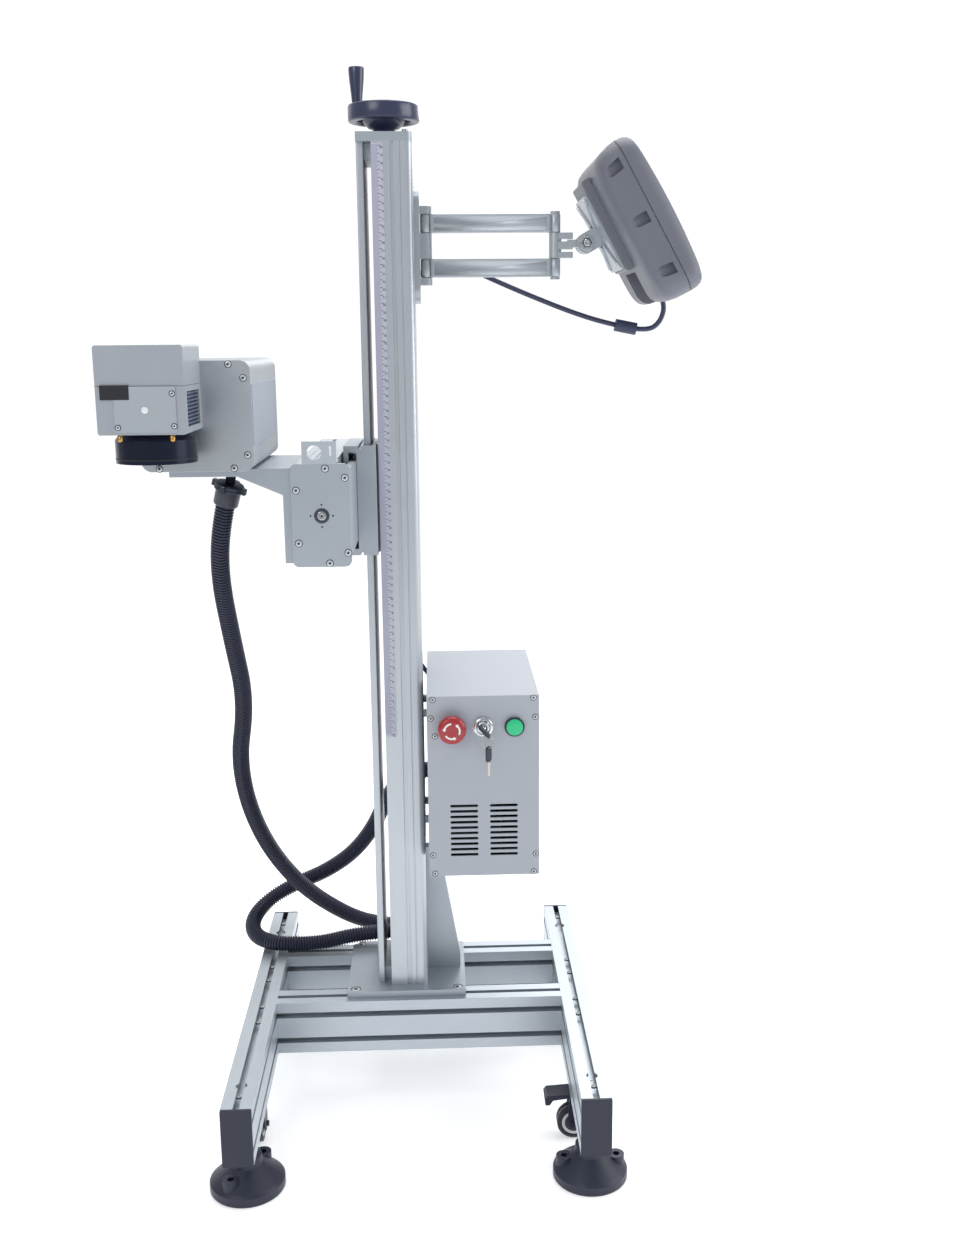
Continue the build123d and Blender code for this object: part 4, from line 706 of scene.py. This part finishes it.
turned("startRing", (0.1397, -0.0685, 0.585), (0, -1, 0), [(0, 14.0), (1.6, 14.0), (2.6, 13.2), (2.8, 12.2)],
       finishes["blackNylon"], "root", 48)
startCap = turned("startLens", (0.1397, -0.0435, 0.585), (0, -1, 0),
                  [(0, 7.9), (28.2, 7.9), (28.3, 11.4), (29.9, 11.4), (30.8, 10.9), (31.3, 9.4), (31.5, 6.0),
                   (31.6, 1.0)], finishes["startGreen"], "start", 48)
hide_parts("start_button")
turned("keyCollar", (0.0965, -0.0684, 0.585), (0, -1, 0),
       [(0, 13.4), (1.2, 13.4), (2.2, 12.4), (2.6, 10.4), (2.0, 9.4)], finishes["chromeRing"], "root", 48)
keys = {"lock": (96.5, 585.0), "turn": 45.0, "bow": (19.0, 20.0), "thick": 3.6, "ring": (101.5, 569.5),
        "spareBow": (103.0, 552.0)}
lockX, lockZ = keys["lock"]
turn = radians(keys["turn"])
alongBow, bowNormal = Vector((sin(turn), 0, -cos(turn))), Vector((cos(turn), 0, sin(turn)))
bowAt = Vector((lockX, -86.0, lockZ)) * mm + alongBow * (1.5 * mm) - bowNormal * (keys["thick"] / 2 * mm)
bow = plate("bow", bowAt, bowNormal, (0, 1, 0), keys["bow"], keys["thick"], 4.5, finishes["blackNylon"], None,
            0.8)
neck = turned("keyNeck", (lockX * mm, -0.080, lockZ * mm), (0, 1, 0), [(0, 3.4), (12, 3.4)],
              finishes["keyNickel"], None, 24)
barrel = turned("keyBarrel", (lockX * mm, -0.0705, lockZ * mm), (0, -1, 0),
                [(0, 8.4), (2.6, 8.4), (3.6, 7.6), (3.6, 3.6), (3.0, 3.2)], finishes["chromeRing"], None, 40)
lockKey = joined("lockKey", [bow, neck, barrel], "lock_key")
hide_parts("key")


def wireRing(name, centre, normal, radius, wire, mat, sides=48):
    # a closed ring of round wire
    u, v, d = axesFor(normal)
    verts, faces, wireSides = [], [], 10
    for i in range(sides):
        a = 2 * pi * i / sides
        out = u * cos(a) + v * sin(a)
        for j in range(wireSides):
            b = 2 * pi * j / wireSides
            verts.append(Vector(centre) + out * ((radius + wire * cos(b)) * mm) + d * (wire * sin(b) * mm))
    for i in range(sides):
        for j in range(wireSides):
            p, q = i * wireSides + j, i * wireSides + (j + 1) % wireSides
            r, t = ((i + 1) % sides) * wireSides + (j + 1) % wireSides, ((i + 1) % sides) * wireSides + j
            faces.append((p, t, r, q))
    return pieceFrom(name, verts, faces, mat, None)


ringX, ringZ = keys["ring"]
spareX, spareZ = keys["spareBow"]
splitRing = wireRing("splitRing", (ringX * mm, -0.0885, ringZ * mm), (0.25, -1, 0.1), 8.6, 0.55,
                     finishes["keyNickel"])
spareFace = Vector((0.8, -0.6, 0)).normalized()
spareBow = plate("spareBow", Vector((spareX, -88.0, spareZ)) * mm - spareFace * (1.2 * mm), spareFace,
                 (0.6, 0.8, 0), (11.5, 22.0), 2.6, 4.4, finishes["blackNylon"], None, 0.7)
spareBlade = hullPiece("spareBlade",
                       [((spareX + x) * mm, (-88.0 + y) * mm, (spareZ + z) * mm)
                        for x, y in ((-1.8, -2.2), (1.8, 2.2), (-1.2, -2.7), (2.4, 1.7))
                        for z in (-31.0, -10.0)], finishes["keyNickel"])
spareKey = joined("spareKeySet", [splitRing, spareBow, spareBlade], "hung_key")
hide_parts("spare_key")
print("control box detailed")

# tilt joint: hexagon nut and washer on the near side
turned("tiltWasher", (0.2485, 0.0578, 1.234), (0, -1, 0), [(0, 10.2), (1.0, 10.2), (1.3, 9.8), (1.3, 5)],
       finishes["chromeRing"], "monitor", 40)
turned("tiltNutFace", (0.2485, 0.05198, 1.234), (0, -1, 0), [(0, 7.0), (0.12, 7.0)], finishes["socketGrey"],
       "monitor", 6)
turned("tiltBoltEnd", (0.2485, 0.0519, 1.234), (0, -1, 0),
       [(0, 4.8), (1.8, 4.8), (2.6, 4.0), (2.6, 1.6), (2.0, 1.0)], finishes["chromeRing"], "monitor", 32)

# castor wheels: black tread on a pale web, with a black hub disc on each side
for k in (1, 2, 3, 4):
    low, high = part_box(f"castor_wheel_{k}")
    centre = [(low[i] + high[i]) / 2 for i in range(3)]
    spin = (0, 1, 0) if high[1] - low[1] < high[0] - low[0] else (1, 0, 0)
    tread = []
    for end in (1, -1):
        way = Vector(spin) * end
        tread.append(turned("tyre", centre, way,
                            [(0, 24.0), (8.0, 24.0), (9.4, 22.8), (9.9, 20.4), (9.9, 18.2), (9.0, 17.4)],
                            finishes["tyreBlack"], None, 56))
        tread.append(turned("web", Vector(centre) + way * (8.4 * mm), way,
                            [(0, 17.6), (0.9, 17.2), (1.1, 14.0), (0.5, 13.0)], finishes["wheelGrey"], None,
                            48))
        tread.append(turned("disc", Vector(centre) + way * (8.6 * mm), way,
                            [(0, 12.8), (0.7, 12.4), (1.2, 8.0)], finishes["tyreBlack"], None, 40))
    wheelPiece = joined(f"castorWheel{k}", tread, f"wheel_{k}")
    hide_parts(f"castor_wheel_{k}")
print("castors shod")

# monitor: a moulded back shell and a front bezel, lofted in the monitor's own axes
monitor = {"axis": (248.5, 72.0, 1234.0), "tilt": 29.2, "halfWidth": 135.0, "top": -93.0, "bottom": 121.0,
           "bayFrom": -38.0, "bayTo": 52.0}
lean = radians(monitor["tilt"])
monitorOut, monitorDown = Vector((cos(lean), 0, sin(lean))), Vector((sin(lean), 0, -cos(lean)))


def onMonitor(out, down, across):
    return (Vector(monitor["axis"]) + monitorOut * out + monitorDown * down + Vector((0, across, 0))) * mm


def monitorRing(out, inTop, inBottom, inSide, corner, bulge=0.0):
    # one rounded-rectangle ring: straight sides in eight steps, corners in six
    top, bottom, half = monitor["top"] + inTop, monitor["bottom"] - inBottom, monitor["halfWidth"] - inSide
    ring = [(cx + corner * a, cy + corner * b)
            for cx, cy, a, b in roundCorners(-half, half, top, bottom, corner, 7)]
    full, n = [], len(ring)
    for k in range(n):
        a, b = ring[k], ring[(k + 1) % n]
        steps = 8 if k % 7 == 6 else 1
        full += [(a[0] + (b[0] - a[0]) * j / steps, a[1] + (b[1] - a[1]) * j / steps) for j in range(steps)]
    mid, reach = (top + bottom) / 2, (bottom - top) / 2
    return [onMonitor(out + bulge * (1 - ((y - mid) / reach) ** 2), y, x) for x, y in full]


shellRings = [monitorRing(o, t, b, w, r) for o, t, b, w, r in (
    (36.0, 46, 24, 40, 20), (36.2, 38, 20, 28, 22), (37.6, 28, 14, 17, 26), (41.0, 18, 7.5, 8.5, 28),
    (47.0, 10, 3, 4, 29),
    (57.0, 4.5, 1, 1.8, 29), (68.0, 1.5, 0.4, 0.6, 28), (76.4, 0.3, 0.2, 0.2, 28), (77.0, 1.5, 1.5, 1.5, 27),
    (77.8, 1.5, 1.5, 1.5, 27))]
shell = loftRings("monitorShell", shellRings, finishes["mouldedAbs"], "monitor")
pockets = []
for down, slant in ((-61.5, -5.0), (10.0, 1.0), (81.0, 4.0)):
    for side in (-1, 1):
        wall = side * monitor["halfWidth"]
        corners = [(o, down + d + slant * (o - 57) / 27, wall + side * y) for o, d, y in
                   ((70, -7.5, 2), (70, 7.5, 2), (70, -7.5, -9), (70, 7.5, -9), (52, -7.5, 2), (52, 7.5, 2),
                    (54, -6.5, -6.5), (54, 6.5, -6.5), (44, -3, 2), (44, 3, 2), (44, -2.5, -1.5),
                    (44, 2.5, -1.5))]
        pockets.append(hullPiece("pocketCutter", [onMonitor(*c) for c in corners], finishes["mouldedAbs"]))
bayCorners = [(o, d, y) for o in (30, 60) for d in (66, 130) for y in (monitor["bayFrom"], monitor["bayTo"])]
bay = hullPiece("bayCutter", [onMonitor(*c) for c in bayCorners], finishes["mouldedAbs"])
vents = [hullPiece("ventCutter",
                   [onMonitor(o, d, y) for o in (30, 39) for d in (-56, -44) for y in (x - 1.6, x + 1.6)],
                   finishes["mouldedAbs"]) for x in range(-80, 84, 8) if abs(x) > 62]
carve(shell, pockets + [bay] + vents)
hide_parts("monitor_shell")
bezelRings = [monitorRing(o, i, i, i, r, g) for o, i, r, g in (
    (77.6, 2.0, 27, 0), (78.2, 0.3, 28, 0), (80.0, 0.0, 28, 0), (88.0, 0.6, 28, 0.8), (94.0, 2.6, 27, 2.4),
    (97.6, 6.0, 25, 3.8), (99.0, 10.5, 22, 4.5),
    (99.0, 17.0, 16, 2.5), (98.4, 20.5, 12, 0.6), (96.5, 21.6, 10, 0), (94.4, 21.9, 10, 0))]
bezel = loftRings("monitorBezel", bezelRings, finishes["mouldedAbs"], "monitor")
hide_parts("monitor_bezel")

# pad, ribs, port plate, plug and screws on the monitor's back
padRings = [[onMonitor(o, -6 + sx * (66 - i), 0 + sy * (57 - i))
             for sx, sy in ((1, 1), (1, -1), (-1, -1), (-1, 1))]
            for o, i in ((24.8, 3.0), (26.5, 1.0), (37.0, 0.0))]
loftRings("monitorPad", padRings, finishes["mouldedAbs"], "monitor")
plateHeads = []
for d in (-46, 46):
    for y in (-46, 46):
        plateHeads += capScrew(onMonitor(20.6, d, y), -monitorOut, 4.2, 2.4)
joined("bracketScrews", plateHeads, "monitor")
ribs = []
for sy in (-1, 1):
    for sd in (-1, 1):
        ends = [(o, sd * d, sy * y) for o in (17.6, 20.6)
                for d, y in ((16, 12), (12, 16), (50, 44), (46, 48))]
        ribs.append(hullPiece("rib", [onMonitor(*c) for c in ends], finishes["silverPaint"]))
joined("bracketRibs", ribs, "monitor")
portPlate = hullPiece("portPlate",
                      [onMonitor(o, d, y) for o in (58.5, 59.9) for d in (70, 110) for y in (-34, 46)],
                      finishes["machinedSteel"])
ports = [hullPiece("port", [onMonitor(o, d, y) for o in (54, 58.5) for d in (74, 90) for y in (x - 6, x + 6)],
                   finishes["darkGap"]) for x in (-24, -6, 18, 36)]
joined("monitorPorts", [portPlate] + ports, "monitor")
turned("monitorPlug", onMonitor(60, 92, 0), monitorDown,
       [(0, 5.0), (0.6, 5.8), (16, 5.8), (17, 5.0), (18, 4.4), (19, 5.0), (20, 4.4), (21, 5.0), (22, 4.3),
        (23, 4.8), (24, 4.2), (25, 4.4), (26, 3.9)], finishes["cablePvc"], "monitor", 28)
print("monitor moulded")

# arm bars: each a bar with a raised border round a sunk panel, and a barrel at each end
arm = {"axisX": 28.5, "endX": 206.5, "y": 72.0, "barrel": 7.3, "halfThick": 6.2, "height": 24.5,
       "levels": (1190.0, 1249.0), "border": 2.6, "sink": 1.6}


def barRing(z, halfLong, halfHigh, depth, corner):
    midX = (arm["axisX"] + arm["endX"]) / 2
    return [Vector((midX + cx + corner * a, arm["y"] + depth, z + cz + corner * b)) * mm
            for cx, cz, a, b in roundCorners(-halfLong, halfLong, -halfHigh, halfHigh, corner, 5)]


bars = []
for base in arm["levels"]:
    z, high = base + arm["height"] / 2, arm["height"] / 2
    long = (arm["endX"] - arm["axisX"]) / 2
    t, rim, sink = arm["halfThick"], arm["border"], arm["sink"]
    half = [(sink - t, long - 9 - rim, high - rim, 1.6), (0.2 - t, long - 8.9 - rim, high - rim + 0.1, 1.8),
            (-t, long - 8.4 - rim, high - rim + 0.4, 2.0), (-t, long - 7.0, high - 0.5, 1.6),
            (0.5 - t, long - 6.2, high, 1.4)]
    rings = [barRing(z, a, b, y, r) for y, a, b, r in half] + [barRing(z, a, b, -y, r)
            for y, a, b, r in reversed(half)]
    bars.append(loftRings("bar", rings, finishes["silverPaint"], None))
    for x in (arm["axisX"], arm["endX"]):
        r = arm["barrel"]
        bars.append(turned("barrel", (x * mm, arm["y"] * mm, base * mm), (0, 0, 1),
                           [(0, r - 0.7), (0.7, r), (arm["height"] - 0.7, r), (arm["height"], r - 0.7)],
                           finishes["silverPaint"], None, 32))
armBars = joined("armBars", bars, "arm")
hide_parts("arm_bars")

# handwheel: rolled rim, dished hub on five spokes, and the revolving grip
wheel = {"x": -25.0, "y": 72.0, "bottom": 1375.0, "rimBottom": 1392.0, "rim": 48.0, "rimHigh": 22.0,
         "gripX": -60.71, "gripY": 85.0, "gripFrom": 1414.5}


def revolved(name, place, profile, mat, body, sides):
    # a closed outline turned about the upright axis, for rings with a hole
    verts, faces, n = [], [], len(profile)
    for r, h in profile:
        for s in range(sides):
            a = 2 * pi * s / sides
            verts.append(((place[0] + r * cos(a)) * mm, (place[1] + r * sin(a)) * mm, (place[2] + h) * mm))
    for i in range(n):
        j = (i + 1) % n
        for s in range(sides):
            a, b = s, (s + 1) % sides
            faces.append((i * sides + a, i * sides + b, j * sides + b, j * sides + a))
    return pieceFrom(name, verts, faces, mat, body)


rimR, rimH = wheel["rim"], wheel["rimHigh"]
rimShape = [(rimR - 10, 0), (rimR - 2.4, 0), (rimR - 0.7, 0.7), (rimR, 2.4), (rimR, rimH - 2.6),
            (rimR - 0.7, rimH - 0.8), (rimR - 2.4, rimH), (rimR - 9.0, rimH), (rimR - 11.5, rimH - 2.5),
            (rimR - 11.8, 3)]
rim = revolved("rim", (wheel["x"], wheel["y"], wheel["rimBottom"]), rimShape, finishes["glossPhenolic"], None,
               72)
hubRise = wheel["rimBottom"] - wheel["bottom"]
hub = turned("hub", (wheel["x"] * mm, wheel["y"] * mm, wheel["bottom"] * mm), (0, 0, 1),
             [(0, 13.6), (0.8, 14.6), (7.6, 15.0), (9.5, 21), (14, 26), (hubRise + 6, 31), (hubRise + 12, 30),
              (hubRise + 16, 22), (hubRise + 19, 18), (hubRise + 19.6, 9)], finishes["glossPhenolic"], None,
             48)
spokes = []
for k in range(5):
    a = radians(160 + 72 * k)
    cosA, sinA = cos(a), sin(a)
    ends = [(r, w, h) for r, high in ((26, 9), (38.5, 7.5)) for w in (-5.5, 5.5) for h in (5, 5 + high)]
    spokes.append(hullPiece("spoke",
                            [((wheel["x"] + r * cosA - w * sinA) * mm,
                              (wheel["y"] + r * sinA + w * cosA) * mm, (wheel["rimBottom"] + h) * mm)
                             for r, w, h in ends], finishes["glossPhenolic"]))
handwheel = joined("handwheelBody", [rim, hub] + spokes, "lift_drive")
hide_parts("handwheel")
grip = turned("handwheelGrip", (wheel["gripX"] * mm, wheel["gripY"] * mm, wheel["gripFrom"] * mm), (0, 0, 1),
              [(0, 6.2), (0.8, 7.0), (6, 7.1), (18, 8.3), (32, 9.8), (42, 10.6), (47.5, 10.8), (49.3, 10.5),
               (50, 9.8), (49.9, 3.0), (49.2, 2.0)], finishes["glossPhenolic"], "handle", 40)
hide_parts("handwheel_handle")
screwSet("gripPinHead", [(wheel["gripX"], wheel["gripY"], wheel["gripFrom"] + 48.6)], (0, 0, 1), 2.2, 1.4,
         "lift_drive")
print("arm and handwheel shaped")

# heat sink in the side window of the scan head: thin fins on a blue body
fins = []
for k in range(9):
    z = 1014.0 + 4.25 * k
    fins.append(hullPiece("fin", [(x * mm, y * mm, (z + h) * mm) for x in (-253.0, -245.4)
                                  for y in (-273.5, -195.5) for h in (0, 1.5)], finishes["machinedSteel"]))
sink = hullPiece("sinkBase", [(x * mm, y * mm, z * mm) for x in (-253.0, -249.0) for y in (-274.4, -194.6)
                              for z in (1011.2, 1050.8)], finishes["blueAnodised"])
heatSink = joined("scanHeatSink", [sink] + fins, "slide")
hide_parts("scan_heat_sink")

# gland: a clamping collar with four lugs round the hose, on a thin neck under the laser
gland = {"top": (-222.5, -108.0, 950.4), "neck": 6.4, "collarAt": 17.0, "collar": 19.0, "sleeve": 16.4,
         "length": 29.0}
glandTop = Vector(gland["top"]) * mm
glandDir = (hoseLine[0] - hoseLine[44]).normalized() * -1
glandStart = hoseLine[0] + glandDir * (gland["collarAt"] * mm)
neckDir = (glandStart - glandTop).normalized()
neckLong = (glandStart - glandTop).length / mm
parts = [turned("neck", glandTop, neckDir,
                [(0, 8.2), (1.6, 8.2), (2.2, gland["neck"]), (neckLong, gland["neck"])],
                finishes["blackNylon"], None, 32)]
collarR, sleeveR, glandLong = gland["collar"], gland["sleeve"], gland["length"]
parts.append(turned("collar", glandStart, glandDir,
                    [(-1.2, 8.5), (-0.6, collarR - 3), (0, collarR - 1), (1.2, collarR), (3.4, collarR),
                     (4.0, collarR - 0.8), (4.6, collarR - 0.8), (5.2, collarR), (8.2, collarR),
                     (9.0, collarR - 1.0), (9.4, sleeveR), (27.4, sleeveR - 0.4), (glandLong, sleeveR - 1.4),
                     (glandLong, 12.6)], finishes["blackNylon"], None, 56))
across = glandDir.cross(Vector((0, 1, 0))).normalized()
deep = glandDir.cross(across)
for k in range(4):
    a = radians(15 + 90 * k)
    way = across * cos(a) + deep * sin(a)
    side = glandDir.cross(way)
    at = glandStart + glandDir * (2.0 * mm) + way * (collarR * mm)
    lug = [at + way * (w * mm) + side * (v * mm) + glandDir * (h * mm) for w in (-2.5, 4.2)
           for v in (-3.6, 3.6) for h in (-1.2, 6.4)]
    parts.append(hullPiece("lug", lug, finishes["blackNylon"]))
    parts.append(turned("lugPin", at + way * (1.4 * mm), -glandDir,
                        [(1.0, 2.6), (1.8, 2.6), (2.2, 2.0), (1.5, 1.2)], finishes["machinedSteel"], None,
                        16))
hoseGland = joined("hoseGland", parts, "slide")
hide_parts("hose_gland")
